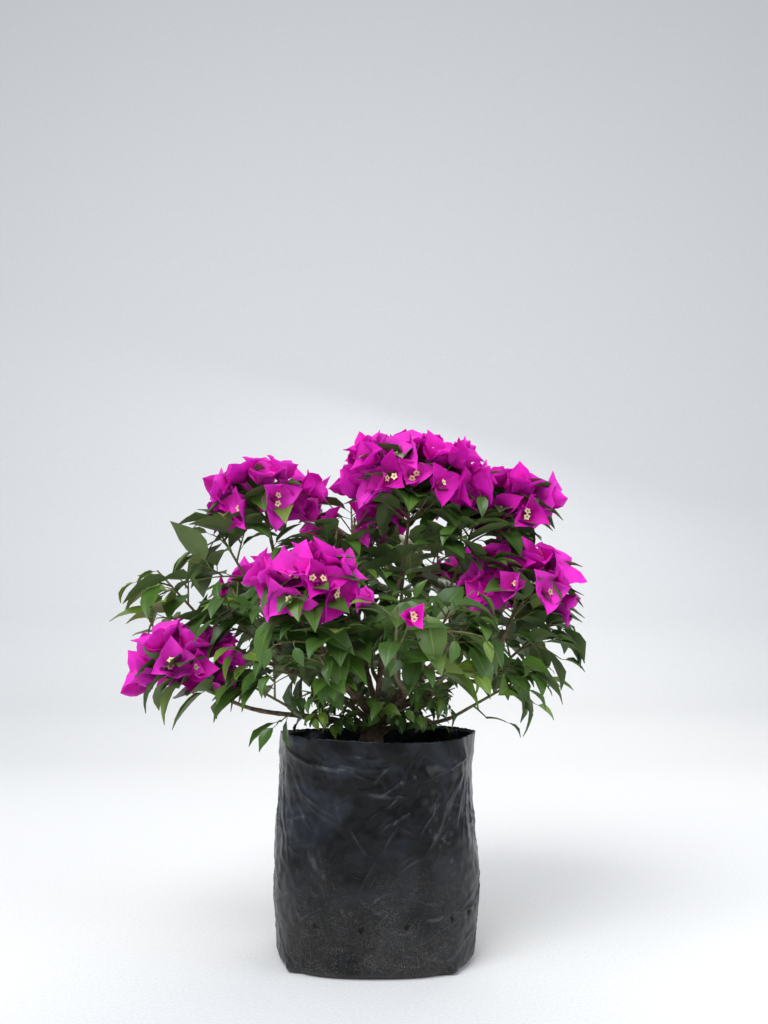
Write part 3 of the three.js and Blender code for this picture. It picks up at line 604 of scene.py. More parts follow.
def bark_relief(turn, run, radius):
    """Long ridges, with a swelling at each finger's width on all but the trunk."""
    ring = list(zip(np.cos(turn), np.sin(turn), run))
    fissures = np.array([noise.noise(Vector((4 * c, 4 * s, z / 9))) for c, s, z in ring])
    lumps = np.array([noise.noise(Vector((1.3 * c, 1.3 * s, z / 14 + 5))) for c, s, z in ring])
    joints = np.exp(-(((run % JOINT_APART) - JOINT_APART // 2) / JOINT_LONG) ** 2)
    return 1 + 0.10 * fissures + 0.12 * lumps + 0.13 * joints * (radius < THIN_LIMB)


def limb_skin(bm, curve, radius_at, rows):
    """A limb's bark: a tube bent onto a curve, with its relief."""
    verts, turn, share = wrapped_grid(bm, BARK_SIDES, rows)
    length = curve_length(curve)
    chord = unit(curve(1) - curve(0))
    across = RIGHT if abs(chord[2]) > 0.8 else UP
    radius = np.array([radius_at(s) for s in share])
    relief = bark_relief(turn * 2 * math.pi, share * length, radius)
    for vert, t, s, r in zip(verts, turn, share, radius * relief):
        side = unit(np.cross(curve.slope(s), across))
        front = np.cross(curve.slope(s), side)
        angle = (t % 1) * 2 * math.pi
        vert.co = curve(s) + side * r * math.cos(angle) + front * r * math.sin(angle)


def trunk_radius(share):
    height = (TRUNK_TOP - TRUNK_FOOT)[2] * share
    spread = 1 + FLARE * math.exp(-height / FLARE_HEIGHT)
    return (TRUNK_FOOT_RADIUS + (TRUNK_TOP_RADIUS - TRUNK_FOOT_RADIUS) * share) * spread


def close_tubes(bm):
    bmesh.ops.remove_doubles(bm, verts=bm.verts, dist=0.02)
    bmesh.ops.holes_fill(bm, edges=bm.edges, sides=0)
    bmesh.ops.recalc_face_normals(bm, faces=bm.faces)
    return bm


# Bark: thin and grey brown, split lengthwise into pale and dark ridges.
def bark_finish(name, pale, dark, along):
    material, at = new_material(name)
    grain = add_node(material, "TexNoise",
                     {"Vector": at, "Scale": along, "Detail": 8.0, "Roughness": 0.7})
    fine = add_node(material, "TexNoise", {"Vector": at, "Scale": along * 5, "Detail": 4.0})
    mask = add_node(material, "MapRange", {"Value": grain, "From Min": 0.35, "From Max": 0.68})
    colour = add_node(material, "MixRGB",
                      {"Fac": mask, "Color1": linear(dark), "Color2": linear(pale)})
    bump = add_node(material, "Bump", {"Height": fine, "Strength": 0.6, "Distance": 0.0008})
    shader = add_node(material, "BsdfPrincipled",
                      {"Base Color": colour, "Roughness": 0.82, "Normal": bump})
    add_node(material, "OutputMaterial", {"Surface": shader})
    return material


limbs = {"trunk": bezier(TRUNK_FOOT, TRUNK_TOP)}
waiting = list(MASSES.values())
while waiting:
    for mass in [m for m in waiting if m["parent"] in limbs]:
        plan_bough(mass, limbs)
        waiting.remove(mass)

woody = bark_finish("bougainvillea_bark", "#8a7460", "#3a2a1e", 140.0)
trunk_mesh = bmesh.new()
trunk_run = bezier(TRUNK_FOOT + UP * 0.3, TRUNK_TOP)
limb_skin(trunk_mesh, trunk_run, trunk_radius, TRUNK_ROWS)
for vert in trunk_mesh.verts:
    spread = vert.co.xy - Vector(TRUNK_FOOT[:2])
    root = math.cos(ROOTS * math.atan2(spread.y, spread.x))
    vert.co.xy += spread * ROOT_OUT * root * math.exp(-(vert.co.z - SOIL_LEVEL) / FLARE_HEIGHT)
trunk_bark = finished(close_tubes(trunk_mesh), "trunk_bark", woody)
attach(trunk_bark, "root")
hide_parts("trunk")

bough_mesh = bmesh.new()
for mass in MASSES.values():
    if "bough" in mass:
        rows = max(6, round(curve_length(mass["bough"]) / BARK_STEP))
        limb_skin(bough_mesh, mass["bough"], lambda share: bough_radius(mass, share), rows)
bough_bark = finished(close_tubes(bough_mesh), "bough_bark", woody)
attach(bough_bark, "root")
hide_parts(*[n for n in frame["nodes"] if n.startswith("bough_")])

# The shoots
# Inside each mass the stem carries on from its bough. Twigs leave it by the golden angle, finer
# ones leave those, and each carries leaves in a spiral, or ends in a three of bracts.

LEAF_LENGTH, BRACT_LENGTH = 88, 40
SMALL = 0.6
INNER, INNER_SIZE = 100, 0.78  # leaves of a mass this near to the upright axis are smaller
LOW, LOW_WIDTH, LOW_SIZE = 296, 100, 0.62  # and so is each leaf below this, no further to a side
LEAF_HANG, MORE_HANG, HANG_BELOW = 0.02, 0.3, 330  # leaves hang, and more so below a height
OVER = 1.1  # how far past its own half sizes a mass may reach
LIMB_CLEAR = 1.2
BAG_CLEAR = 236
LEAF_APART, LEAVES_COMPARED = 8, 260
LEAF_SPACING, LEAF_TURN = 20, 2.4
TRIES, BRACT_TRIES = 8, 16
AROUND = 6.28  # radians that a draw spreads over, about a full turn
TWIG_RADIUS, TWIG_TIP_RADIUS = 1.3, 0.6
STALK_RADIUS, STALK_TIP_RADIUS = 1.0, 0.8
STALK_RISE, STALK_SWAY = 0.75, 0.14
TWIG_FORK = 0.45
LOW_SHOOTS = 22  # thin shoots that leave the trunk itself, just over the bag
LOW_SHOOT_RADIUS, LOW_SHOOT_TIP_RADIUS = 1.7, 0.7
BACK, BACK_BELOW = 60, 450  # a cluster behind and below this bears no bracts towards the front
EYE = np.array([9.0, -1043.0, 315.0])  # where the photograph is seen from
# Open gaps between the sprays, as the photograph shows them in the upright plane through the
# trunk: middle along X and Z, then half widths.
GAPS = [(-35, 492, 17, 26), (-274, 447, 42, 26), (-144, 424, 13, 9), (222, 466, 26, 16),
        (-183, 232, 32, 26), (-130, 262, 15, 15), (104, 273, 14, 22), (-60, 545, 30, 22),
        (-114, 298, 10, 8), (-85, 275, 7, 7), (-82, 293, 7, 6), (-37, 273, 7, 8), (-3, 288, 8, 8),
        (-18, 260, 8, 8), (28, 270, 9, 9), (36, 298, 8, 5), (68, 247, 10, 7), (-309, 303, 17, 39)]
shoots = []  # each a list of points with the radius at each
leaves = []
leaf_marks = []  # three points on each leaf
threes = []


def fanned(axis, turn, lean):
    """A unit vector at a turn round an axis, leaning from it by an angle."""
    first = unit(np.cross(axis, RIGHT if abs(axis[2]) > 0.9 else UP))
    second = np.cross(axis, first)
    across = first * math.cos(turn) + second * math.sin(turn)
    return unit(axis * math.cos(lean) + across * math.sin(lean))


def limb_segments():
    """The trunk, the boughs and the stems as straight stretches with a radius at each end."""
    starts, ends, radii = [TRUNK_FOOT], [TRUNK_TOP], [TRUNK_FOOT_RADIUS]
    for mass in MASSES.values():
        for curve, radius in ((mass.get("bough"), BUTT_RADIUS - 1), (mass["stem"], STEM_TIP_RADIUS)):
            if curve:
                points = [curve(i / 6) for i in range(7)]
                starts += points[:-1]
                ends += points[1:]
                radii += [radius] * 6
    return np.array(starts), np.array(ends), np.array(radii)


LIMB_STARTS, LIMB_ENDS, LIMB_RADII = limb_segments()


def limb_room(points):
    """The distance from each point to the outside of the nearest limb."""
    along = LIMB_ENDS - LIMB_STARTS
    away = points[:, None] - LIMB_STARTS
    share = np.clip((away * along).sum(2) / (along * along).sum(1), 0, 1)
    return (np.linalg.norm(away - along * share[:, :, None], axis=2) - LIMB_RADII).min(1)


def in_reach(mass, points):
    return np.linalg.norm((points - mass["middle"]) / mass["half"], axis=1).max() < OVER


def before_gap(points):
    """Whether any point would hide one of the open gaps."""
    seen = EYE + (points - EYE) * (EYE[1] / (EYE[1] - points[:, 1]))[:, None]
    away = [((seen[:, 0] - x) / wide) ** 2 + ((seen[:, 2] - z) / high) ** 2 for x, z, wide, high in GAPS]
    return bool(np.min(away) < 1)


def over_bag(points):
    out = np.hypot(points[:, 0], points[:, 1])
    return bool(np.all((out > BELLY_HALF + 8) | (points[:, 2] > BAG_CLEAR)))


def free_at(mass, points):
    """Whether all points are inside the mass, and clear of the bag and of every limb."""
    return in_reach(mass, points) and over_bag(points) and limb_room(points).min() > LIMB_CLEAR


def too_near(marks):
    """Whether a leaf with these marks would lie on one of the last ones placed."""
    if not leaf_marks:
        return False
    placed = np.concatenate(leaf_marks[-LEAVES_COMPARED:])
    return np.linalg.norm(placed[:, None] - marks, axis=2).min() < LEAF_APART


def offer_leaf(mass, draw, foot, axis, turn, lean, size, young, hang=None):
    """Hangs a leaf on a twig, turned afresh and smaller each time until it fits."""
    hang = hang if hang is not None else LEAF_HANG + MORE_HANG * (foot[2] < HANG_BELOW)
    size *= LOW_SIZE if foot[2] < LOW and abs(foot[0]) < LOW_WIDTH else 1
    for i in range(TRIES):
        length = size * (1 - 0.04 * i) * (0.9 + 0.2 * draw())
        heading = fanned(axis, turn + (0.4 + 0.4 * i) * (draw() - 0.5) * 2, lean + 0.3 * (draw() - 0.5))
        out = unit(foot - HEART)
        direction = unit(heading + out * 0.5 - UP * (hang + 0.4 * draw()))
        face = UP + out * 0.9 + np.array([draw() - 0.5, draw() - 0.5, 0]) * 1.2
        normal = unit(face - direction * (face @ direction))
        side = np.cross(direction, normal)
        tip = foot + direction * length * 0.95 - normal * 0.2 * length
        belly = foot + direction * 0.5 * length
        wide = side * 0.22 * length
        corners = np.array([tip, belly + wide, belly - wide, belly])
        marks = np.array([foot + direction * length * s for s in (0.4, 0.7, 0.95)])
        if not free_at(mass, corners) or before_gap(corners) or too_near(marks):
            continue
        leaves.append({
            "foot": foot, "direction": direction, "normal": normal, "length": length,
            "width": 0.42 + 0.13 * draw(), "fold": 0.12 + 0.3 * draw(), "curl": 0.6 + 0.9 * draw(),
            "cup": 0.0, "crumple": 0.012 + 0.012 * draw(), "wave": 0.01 + 0.02 * draw(),
            "phase": AROUND * draw(), "tone": "young" if young else "leaf", "shade": draw(),
        })
        leaf_marks.append(marks)
        return True
    return False


def add_shoot(points, butt, tip):
    shares = np.linspace(0, 1, len(points))
    shoots.append((np.array(points), butt + (tip - butt) * shares))


def offer_twig(mass, draw, curve, at, turn, lean, share):
    """A twig that leaves a stem or a bigger twig and ends inside the mass."""
    start, axis = curve(at), curve.slope(at)
    for i in range(TRIES):
        heading = fanned(axis, turn + 0.4 * i * (draw() - 0.5), lean + 0.4 * (draw() - 0.5))
        length = share * reach_of(mass, heading) * (1 - 0.05 * i)
        end = start + heading * length - UP * 0.06 * length
        bend = start + heading * 0.5 * length + UP * 0.07 * length
        points = np.array([bezier(start, bend, end)(s) for s in np.linspace(0.25, 1, 5)])
        if free_at(mass, points):
            return bezier(start, bend, end)
    return None


def leafy_twig(mass, draw, twig, size, young, turned):
    """Leaves in a spiral along a twig, with a tuft of smaller ones at its tip. Returns the share
    of the twig that bears them."""
    length = curve_length(twig)
    count = max(2, int(length * (LEAF_LENGTH / size) / LEAF_SPACING))
    end = 0
    for k in range(count):
        share = 0.25 + 0.68 * k / count
        full = size * (0.8 + 0.3 * draw()) * (0.85 if share > 0.75 else 1)
        turn = turned + k * LEAF_TURN
        if offer_leaf(mass, draw, twig(share), twig.slope(share), turn, 0.95, full, young):
            end = share
    for k in range(3):
        full = size * (0.78 - 0.16 * k)
        fresh = young or draw() < 0.1
        turn, lean = turned + k * 2.1, 0.3 + 0.35 * k
        if offer_leaf(mass, draw, twig(0.97), twig.slope(1), turn, lean, full, fresh):
            end = 0.97
    return end


def add_twig(twig, end):
    """Draws a twig up to the share of it that bears something."""
    if end:
        add_shoot([twig(s * end + 0.01) for s in np.linspace(0, 1, 6)], TWIG_RADIUS, TWIG_TIP_RADIUS)


def grow_leaves(mass, draw):
    """Twigs round the stem, each with a finer one, and leaves along them all."""
    size = LEAF_LENGTH * (SMALL if mass["small"] else 1)
    inner = np.linalg.norm(mass["middle"] * [1, 1, 0]) < INNER
    size *= INNER_SIZE if inner or mass["small"] else 1
    turned = 2 * math.pi * draw()
    add_shoot([mass["stem"](s) for s in np.linspace(0, 1, 8)], TIP_RADIUS, STEM_TIP_RADIUS)
    top = bezier(mass["stem"](0.8), mass["stem"](1))
    add_twig(top, leafy_twig(mass, draw, top, size, draw() < mass["young"], turned))
    for i in range(mass["count"]):
        at = 0.12 + 0.84 * (i + 0.5) / mass["count"]
        turn = turned + i * GOLDEN_ANGLE
        young = draw() < mass["young"]
        reach = 0.95 if mass["small"] else 0.72
        twig = offer_twig(mass, draw, mass["stem"], at, turn, 1.25 - 0.5 * at, reach)
        if twig is None:
            continue
        end = leafy_twig(mass, draw, twig, size, young, turn)
        finer = offer_twig(mass, draw, twig, TWIG_FORK, turn + 1.9, 0.8, 0.5)
        if finer:
            finer_end = leafy_twig(mass, draw, finer, size * 0.9, young, turn + 1)
            add_twig(finer, finer_end)
            end = max(end, TWIG_FORK + 0.01 if finer_end else 0)
        add_twig(twig, end)


def grow_bracts(mass, draw):
    """Threes of bracts spread evenly over the top of the mass, with leaves below and among them."""
    stem, middle = mass["stem"], mass["middle"]
    share_of_full = SMALL if mass["small"] else 1
    add_shoot([stem(s) for s in np.linspace(0, 1, 8)], TIP_RADIUS, STEM_TIP_RADIUS)
    placed = []
    for i in range(mass["count"]):
        best, best_room = None, -1
        for _ in range(BRACT_TRIES):
            rise = 1 - 1.45 * draw()
            aim = fanned(UP, 2 * math.pi * draw(), math.acos(rise))
            if middle[1] > BACK and middle[2] < BACK_BELOW and aim[1] < 0.1:
                continue
            length = BRACT_LENGTH * share_of_full * (0.84 + 0.28 * draw())
            reach = reach_of(mass, aim)
            deep = (0.82 + 0.3 * draw()) * length + (0.7 * length * draw() if i % 3 == 2 else 0)
            end = middle + aim * max(0.1 * reach, reach - deep)
            room = min([np.linalg.norm(end - p) for p in placed] or [1e3])
            tips = np.array([end, end + aim * 0.9 * length])
            clear = limb_room(end[None])[0] > 2 and over_bag(tips) and not before_gap(tips)
            if room > best_room and clear:
                best, best_room = (end, aim, length), room
        if best is None:
            continue
        end, aim, length = best
        placed.append(end)
        starts = [stem(s) for s in np.linspace(0, 0.9, 10)]
        starts = [p for p in starts if not before_gap(p[None])] or starts
        start = min(starts, key=lambda p: abs(end[2] - p[2] - STALK_RISE * math.hypot(*(end - p)[:2])))
        axis = unit(aim + UP * 0.3 + 0.4 * (fanned(aim, AROUND * draw(), 1.57)) * draw())
        sway = fanned(axis, i * GOLDEN_ANGLE, 1.9)
        bend = start + (end - start) * 0.5 + sway * STALK_SWAY * np.linalg.norm(end - start)
        stalk = bezier(start, bend, end)
        add_shoot([stalk(s) for s in np.linspace(0, 1, 6)], STALK_RADIUS, STALK_TIP_RADIUS)
        threes.append({"at": end, "axis": axis, "length": length, "spin": 2 * math.pi * draw(),
                       "lean": 0.36 + 0.42 * draw(), "draws": [draw() for _ in range(12)],
                       "tone": draw()})
        if i % 2 == 0:
            young = draw() < mass["young"] + 0.05
            size = LEAF_LENGTH * (0.6 + 0.2 * draw()) * share_of_full
            at, lean = (0.9, 0.5) if i % 8 == 0 else (0.5, 1.4)
            offer_leaf(mass, draw, stalk(at), axis, AROUND * draw(), lean, size, young, hang=-0.1)
    turned = 2 * math.pi * draw()
    under = 4 + mass["count"] // 2
    for k in range(under):
        at = 0.1 + 0.8 * k / under
        size = LEAF_LENGTH * (0.75 + 0.25 * draw()) * share_of_full
        young = draw() < mass["young"]
        turn = turned + k * LEAF_TURN
        offer_leaf(mass, draw, stem(at), stem.slope(at), turn, 1.15, size, young)


def space_round(middle, half):
    """A ball that leaves may fill outside the masses."""
    return {"middle": middle, "half": np.full(3, float(half))}


def grow_low_shoot(around, draw):
    """A thin shoot that leaves the trunk low, with small leaves along its outer half."""
    draw()  # the first draws of neighbouring seeds are too much alike
    start = limbs["trunk"](0.45 + 0.5 * draw())
    outward = np.array([math.cos(around), math.sin(around), 0])
    end = start + outward * (52 + 62 * draw()) + UP * (10 + 42 * draw())
    shoot = bezier(start, start * 0.5 + end * 0.5 + UP * (4 - 14 * draw()), end)
    points = [shoot(s) for s in np.linspace(0, 1, 10)]
    if not over_bag(np.array(points[4:])):
        return
    add_shoot(points, LOW_SHOOT_RADIUS, LOW_SHOOT_TIP_RADIUS)
    for share in (0.4, 0.55, 0.7, 0.84, 0.98):
        foot = shoot(share)
        offer_leaf(space_round(foot, 60), draw, foot, shoot.slope(share), AROUND * draw(), 0.9,
                   LEAF_LENGTH * (0.42 + 0.2 * draw()), draw() < 0.1, hang=0.1)


def leaves_along(bough, draw):
    """Single leaves on a bough outside its mass, more of them high up."""
    for at in np.arange(0.3, 0.98, 0.16):
        foot = bough(at)
        if foot[2] > 300 or draw() < 0.4:
            draw()  # unused, and kept so that the leaves after it stay as they were
            offer_leaf(space_round(foot, 70), draw, foot, bough.slope(at), AROUND * draw(), 0.9,
                       LEAF_LENGTH * (0.45 + 0.35 * draw()), False)


for index, mass in enumerate(MASSES.values()):
    grow = grow_bracts if mass["kind"] == "bracts" else grow_leaves
    grow(mass, seeded(100 + index))
for i in range(LOW_SHOOTS):
    grow_low_shoot(i * GOLDEN_ANGLE, seeded(700 + 37 * i))
for mass in MASSES.values():
    if "bough" in mass:
        leaves_along(mass["bough"], seeded(int(mass["middle"] @ mass["middle"])))

# The twigs
# Thin green-brown shoots, round, that taper to the tip, and the stalks of the bracts with them.
# There are hundreds, so they are tubes of five sides in one joined mesh.

TWIG_SIDES = 5


def tubes(paths):
    """Corners and faces of many closed tubes, from lists of points with the radius at each."""
    corners, faces, base = [], [], 0
    turns = np.arange(TWIG_SIDES) * 2 * math.pi / TWIG_SIDES
    cosines, sines = np.cos(turns)[None, :, None], np.sin(turns)[None, :, None]
    for points, radii in paths:
        tangents = np.gradient(points, axis=0)
        tangents /= np.linalg.norm(tangents, axis=1)[:, None]
        across = RIGHT if abs(tangents[0][2]) > 0.8 else UP
        side = np.cross(tangents, across)
        side /= np.linalg.norm(side, axis=1)[:, None]
        front = np.cross(tangents, side)
        ring = side[:, None] * cosines + front[:, None] * sines
        corners.append((points[:, None] + ring * radii[:, None, None]).reshape(-1, 3))
        rows = len(points)
        for r in range(rows - 1):
            for k in range(TWIG_SIDES):
                a, b = base + r * TWIG_SIDES + k, base + r * TWIG_SIDES + (k + 1) % TWIG_SIDES
                faces.append((a, b, b + TWIG_SIDES, a + TWIG_SIDES))
        faces.append(tuple(base + k for k in reversed(range(TWIG_SIDES))))
        faces.append(tuple(base + (rows - 1) * TWIG_SIDES + k for k in range(TWIG_SIDES)))
        base += rows * TWIG_SIDES
    return np.concatenate(corners), faces


SHARP = math.radians(70)


def joined_piece(name, corners, faces, finishes, numbers=None):
    """One piece from arrays of corners in millimetres and of faces."""
    mesh = bpy.data.meshes.new(name)
    mesh.from_pydata((np.asarray(corners) * MM).tolist(), [], faces)
    if numbers is not None:
        mesh.polygons.foreach_set("material_index", numbers)
    mesh.update()
    piece = shown(mesh, name, *finishes)
    mesh.set_sharp_from_angle(angle=SHARP)
    return piece


twig_corners, twig_faces = tubes(shoots)
twigs = joined_piece("twigs", twig_corners, twig_faces,
                     [bark_finish("green_twig_bark", "#7d7a4a", "#4c4a2c", 190.0)])
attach(twigs, "root")
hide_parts(*MASSES)

# The leaves
# Each leaf is a thin blade, drawn out to a point and folded along its midrib, on a short stalk.
# Old ones are dark and glossy above and paler below, and the young ones at shoot tips are light.

LEAF_STATIONS = [0, 0.16, 0.25, 0.42, 0.62, 0.82, 1.0]
LEAF_WIDTHS = [0.04, 0.05, 0.62, 1.0, 0.88, 0.42, 0.012]
LEAF_COLUMNS = [-1, -0.5, -0.05, 0.05, 0.5, 1]
MIDRIB = 2  # the number of the midrib's strip, between the two middle columns
BLADE_THICK = 0.5
GROOVE = 0.006
DARK_SHARE, FULL_SHARE = 0.55, 0.92


def blade_corners(blades, stations, widths, columns):
    """Corners of many blades: the rows and columns of each upper side, then those of its lower
    side, which shares the outer columns."""
    def read(key):
        return np.array([blade[key] for blade in blades], float)

    foot, direction, normal = read("foot"), read("direction"), read("normal")
    length, curl, fold = read("length")[:, None], read("curl")[:, None], read("fold")[:, None]
    side = np.cross(direction, normal)
    t, s = np.array(stations), np.array(columns)
    turn = curl * t
    run, drop = length * np.sin(turn) / curl, length * (1 - np.cos(turn)) / curl
    up = np.sin(turn)[:, :, None] * direction[:, None] + np.cos(turn)[:, :, None] * normal[:, None]
    midline = foot[:, None] + run[:, :, None] * direction[:, None] - drop[:, :, None] * normal[:, None]
    half = length * read("width")[:, None] / 2 * np.array(widths)
    aside = half[:, :, None] * s
    lift = np.abs(aside) * np.sin(fold)[:, :, None]
    lift += read("cup")[:, None, None] * half[:, :, None] * s * s
    phase = read("phase")[:, None, None] + 1.9 * (s > 0)
    t = t[None, :, None]
    ripple = np.sin(2 * math.pi * 1.6 * t + phase) * s * s
    dents = np.sin(4.4 * t + 2.2 * s + 2.3 * phase) * np.sin(3.1 * t - 2.6 * s + phase)
    uneven = read("wave")[:, None, None] * ripple + read("crumple")[:, None, None] * dents
    scale = length[:, :, None] * np.array(widths)[None, :, None]
    lift += uneven * scale
    lift -= GROOVE * scale * (np.abs(s) == LEAF_COLUMNS[MIDRIB + 1])
    upper = midline[:, :, None] + side[:, None, None] * (aside * np.cos(fold)[:, :, None])[..., None]
    upper = upper + up[:, :, None] * lift[..., None]
    lower = (upper - up[:, :, None] * BLADE_THICK)[:, :, 1:-1]
    count = len(blades)
    return np.concatenate([upper.reshape(count, -1, 3), lower.reshape(count, -1, 3)], axis=1)


def blade_faces(rows, columns, rib, back):
    """Faces of one blade and the number of each one's finish: the blade, its midrib and its back."""
    def upper(r, c):
        return r * columns + c

    def lower(r, c):
        return upper(r, c) if c in (0, columns - 1) else rows * columns + r * (columns - 2) + c - 1

    faces, numbers = [], []
    for r in range(rows - 1):
        for c in range(columns - 1):
            faces.append((upper(r, c), upper(r, c + 1), upper(r + 1, c + 1), upper(r + 1, c)))
            faces.append((lower(r, c), lower(r + 1, c), lower(r + 1, c + 1), lower(r, c + 1)))
            numbers += [1 if c == rib else 0, back]
    for r in (0, rows - 1):
        ring = [upper(r, c) for c in range(columns)] + [lower(r, c) for c in range(columns - 2, 0, -1)]
        faces.append(tuple(ring if r else reversed(ring)))
    return faces, numbers + [back, back]


def blade_piece(name, blades, stations, widths, columns, rib, finishes):
    corners = blade_corners(blades, stations, widths, columns)
    count, each = corners.shape[:2]
    faces, numbers = blade_faces(len(stations), len(columns), rib, len(finishes) - 1)
    every = [tuple(k * each + corner for corner in face) for k in range(count) for face in faces]
    return joined_piece(name, corners.reshape(-1, 3), every, finishes, numbers * count)


def mottled(material, at, colour, pattern, spread, shades):
    """A colour in lighter and darker patches. Spread is the part of the noise that makes a
    difference, and shades are how dark and how light the patches get."""
    patches = add_node(material, "TexNoise", {"Vector": at, **pattern})
    shade = add_node(material, "MapRange",
                     {"Value": patches, "From Min": spread[0], "From Max": spread[1],
                      "To Min": shades[0], "To Max": shades[1]})
    return add_node(material, "HueSaturation", {"Value": shade, "Color": linear(colour)})


# A leaf's waxy skin: smooth, with an IOR of about 1.45 and a gloss that breaks up over the veins.
def leaf_finish(name, colour, roughness):
    material, at = new_material(name)
    tint = mottled(material, at, colour, {"Scale": 55.0, "Detail": 3.0}, (0.3, 0.7), (0.88, 1.12))
    veins = add_node(material, "TexNoise", {"Vector": at, "Scale": 420.0, "Detail": 2.0})
    bump = add_node(material, "Bump", {"Height": veins, "Strength": 0.25, "Distance": 0.0004})
    shader = add_node(material, "BsdfPrincipled",
                      {"Base Color": tint, "Roughness": roughness, "IOR": 1.45, "Normal": bump})
    add_node(material, "OutputMaterial", {"Surface": shader})
    return material


# For each tone, the colours of the upper side, the midrib and the underside.
LEAF_TONES = {
    "dark": ("#3a5820", "#4e6c32", "#586d3c"),
    "full": ("#446424", "#5b7a38", "#5f7341"),
    "fresh": ("#526d28", "#6c883c", "#687c42"),
    "young": ("#688430", "#849c48", "#788c46"),
}


def tone_of(leaf):
    if leaf["tone"] == "young":
        return "young"
    return "dark" if leaf["shade"] < DARK_SHARE else "full" if leaf["shade"] < FULL_SHARE else "fresh"


for leaf_tone, (blade_colour, rib_colour, under_colour) in LEAF_TONES.items():
    chosen = [leaf for leaf in leaves if tone_of(leaf) == leaf_tone]
    skins = [leaf_finish(f"{leaf_tone}_leaf_blade", blade_colour, 0.38),
             leaf_finish(f"{leaf_tone}_leaf_midrib", rib_colour, 0.45),
             leaf_finish(f"{leaf_tone}_leaf_underside", under_colour, 0.6)]
    piece = blade_piece(f"leaves_{leaf_tone}", chosen, LEAF_STATIONS, LEAF_WIDTHS, LEAF_COLUMNS,
                        MIDRIB, skins)
    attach(piece, "root")

# The bracts
# Three papery bracts open round each cluster of true flowers. They are broad, pointed, cupped and
# a little crumpled, and their backs are a shade darker.

BRACT_STATIONS = [0, 0.06, 0.16, 0.3, 0.46, 0.62, 0.77, 0.9, 1.0]
BRACT_WIDTHS = [0.16, 0.64, 0.91, 1.0, 0.95, 0.78, 0.5, 0.2, 0.012]
BRACT_COLUMNS = [-1, -0.6, 0, 0.6, 1]


def bract_blades():
    blades = []
    for three in threes:
        for k in range(3):
            r = three["draws"][4 * k:4 * k + 4]
            turn = three["spin"] + k * 2 * math.pi / 3 + 0.25 * (r[0] - 0.5)
            direction = fanned(three["axis"], turn, three["lean"] + 0.3 * (r[1] - 0.5))
            inner = three["axis"] - direction * (three["axis"] @ direction)
            blades.append({
                "foot": three["at"], "direction": direction, "normal": unit(inner),
                "length": three["length"] * (0.92 + 0.16 * r[2]), "width": 0.74 + 0.14 * r[3],
                "fold": 0.05 + 0.2 * r[0], "curl": 0.15 + 1.4 * r[1] * r[2], "cup": 0.34 + 0.36 * r[2],
                "crumple": 0.05 + 0.04 * r[0], "wave": 0.07 + 0.06 * r[2], "phase": AROUND * r[3],
                "tone": three["tone"],
            })
    return blades


# A bract's papery skin: matt, thin and faintly netted with veins.
def bract_finish(name, colour, roughness):
    material, at = new_material(name)
    tint = mottled(material, at, colour, {"Scale": 70.0, "Detail": 3.0}, (0.3, 0.7), (0.86, 1.14))
    net = add_node(material, "TexVoronoi", {"Vector": at, "Scale": 330.0},
                   feature="DISTANCE_TO_EDGE")
    bump = add_node(material, "Bump", {"Height": net, "Strength": 0.3, "Distance": 0.0005})
    shader = add_node(material, "BsdfPrincipled",
                      {"Base Color": tint, "Roughness": roughness, "Specular IOR Level": 0.3,
                       "Subsurface Weight": 0.35, "Subsurface Radius": (0.006, 0.001, 0.005),
                       "Subsurface Scale": 0.4, "Normal": bump})
    add_node(material, "OutputMaterial", {"Surface": shader})
    return material


# For each tone, the colours of the face and the back.
BRACT_TONES = {
    "deep": ("#cc08a4", "#c4089e"),
    "bright": ("#e010b6", "#d810b0"),
    "pale": ("#ea2cc4", "#e026bc"),
}

every_bract = bract_blades()
for number, (bract_tone, colours) in enumerate(BRACT_TONES.items()):
    chosen = [b for b in every_bract if int(b["tone"] * len(BRACT_TONES)) == number]
    skins = [bract_finish(f"{bract_tone}_bract_{part}", colour, 0.66)
             for part, colour in zip(("face", "back"), colours)]
    piece = blade_piece(f"bracts_{bract_tone}", chosen, BRACT_STATIONS, BRACT_WIDTHS, BRACT_COLUMNS,
                        None, skins)
    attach(piece, "root")

# The true flowers
# A slender tube stands on the midrib of each bract, and the open ones end in a small cream star.
# The tubes are joined as the twigs are, and the stars lobe by lobe.

TUBE_LONG, TUBE_RADIUS = 15, 1.15
STAR_OUTER, STAR_INNER, THROAT, STAR_CORNERS = 4.4, 2.9, 1.3, 10
FIRST_OPEN, OTHERS_OPEN = 0.55, 0.3  # how many flowers of a three are open, by their place in it
OPEN_TUBE, SHUT_TUBE = (0.8, 1.0, 0.8, 1.0), (0.8, 0.9, 1.25, 0.5)


def flower_parts():
    paths, stars = [], []
    for three in threes:
        for k in range(3):
            r = three["draws"][4 * k:4 * k + 4]
            turn = three["spin"] + k * 2 * math.pi / 3 + 0.3
            heading = fanned(three["axis"], turn, 0.22 + 0.2 * r[1])
            long = TUBE_LONG * three["length"] / BRACT_LENGTH * (0.8 + 0.4 * r[2])
            points = np.array([three["at"] + heading * long * s for s in (0, 0.3, 0.7, 1)])
            open_flower = r[3] < (OTHERS_OPEN if k else FIRST_OPEN)
            swell = OPEN_TUBE if open_flower else SHUT_TUBE
            paths.append((points, TUBE_RADIUS * np.array(swell)))
            if open_flower:
                stars.append((points[-1], heading, turn))
    return paths, stars


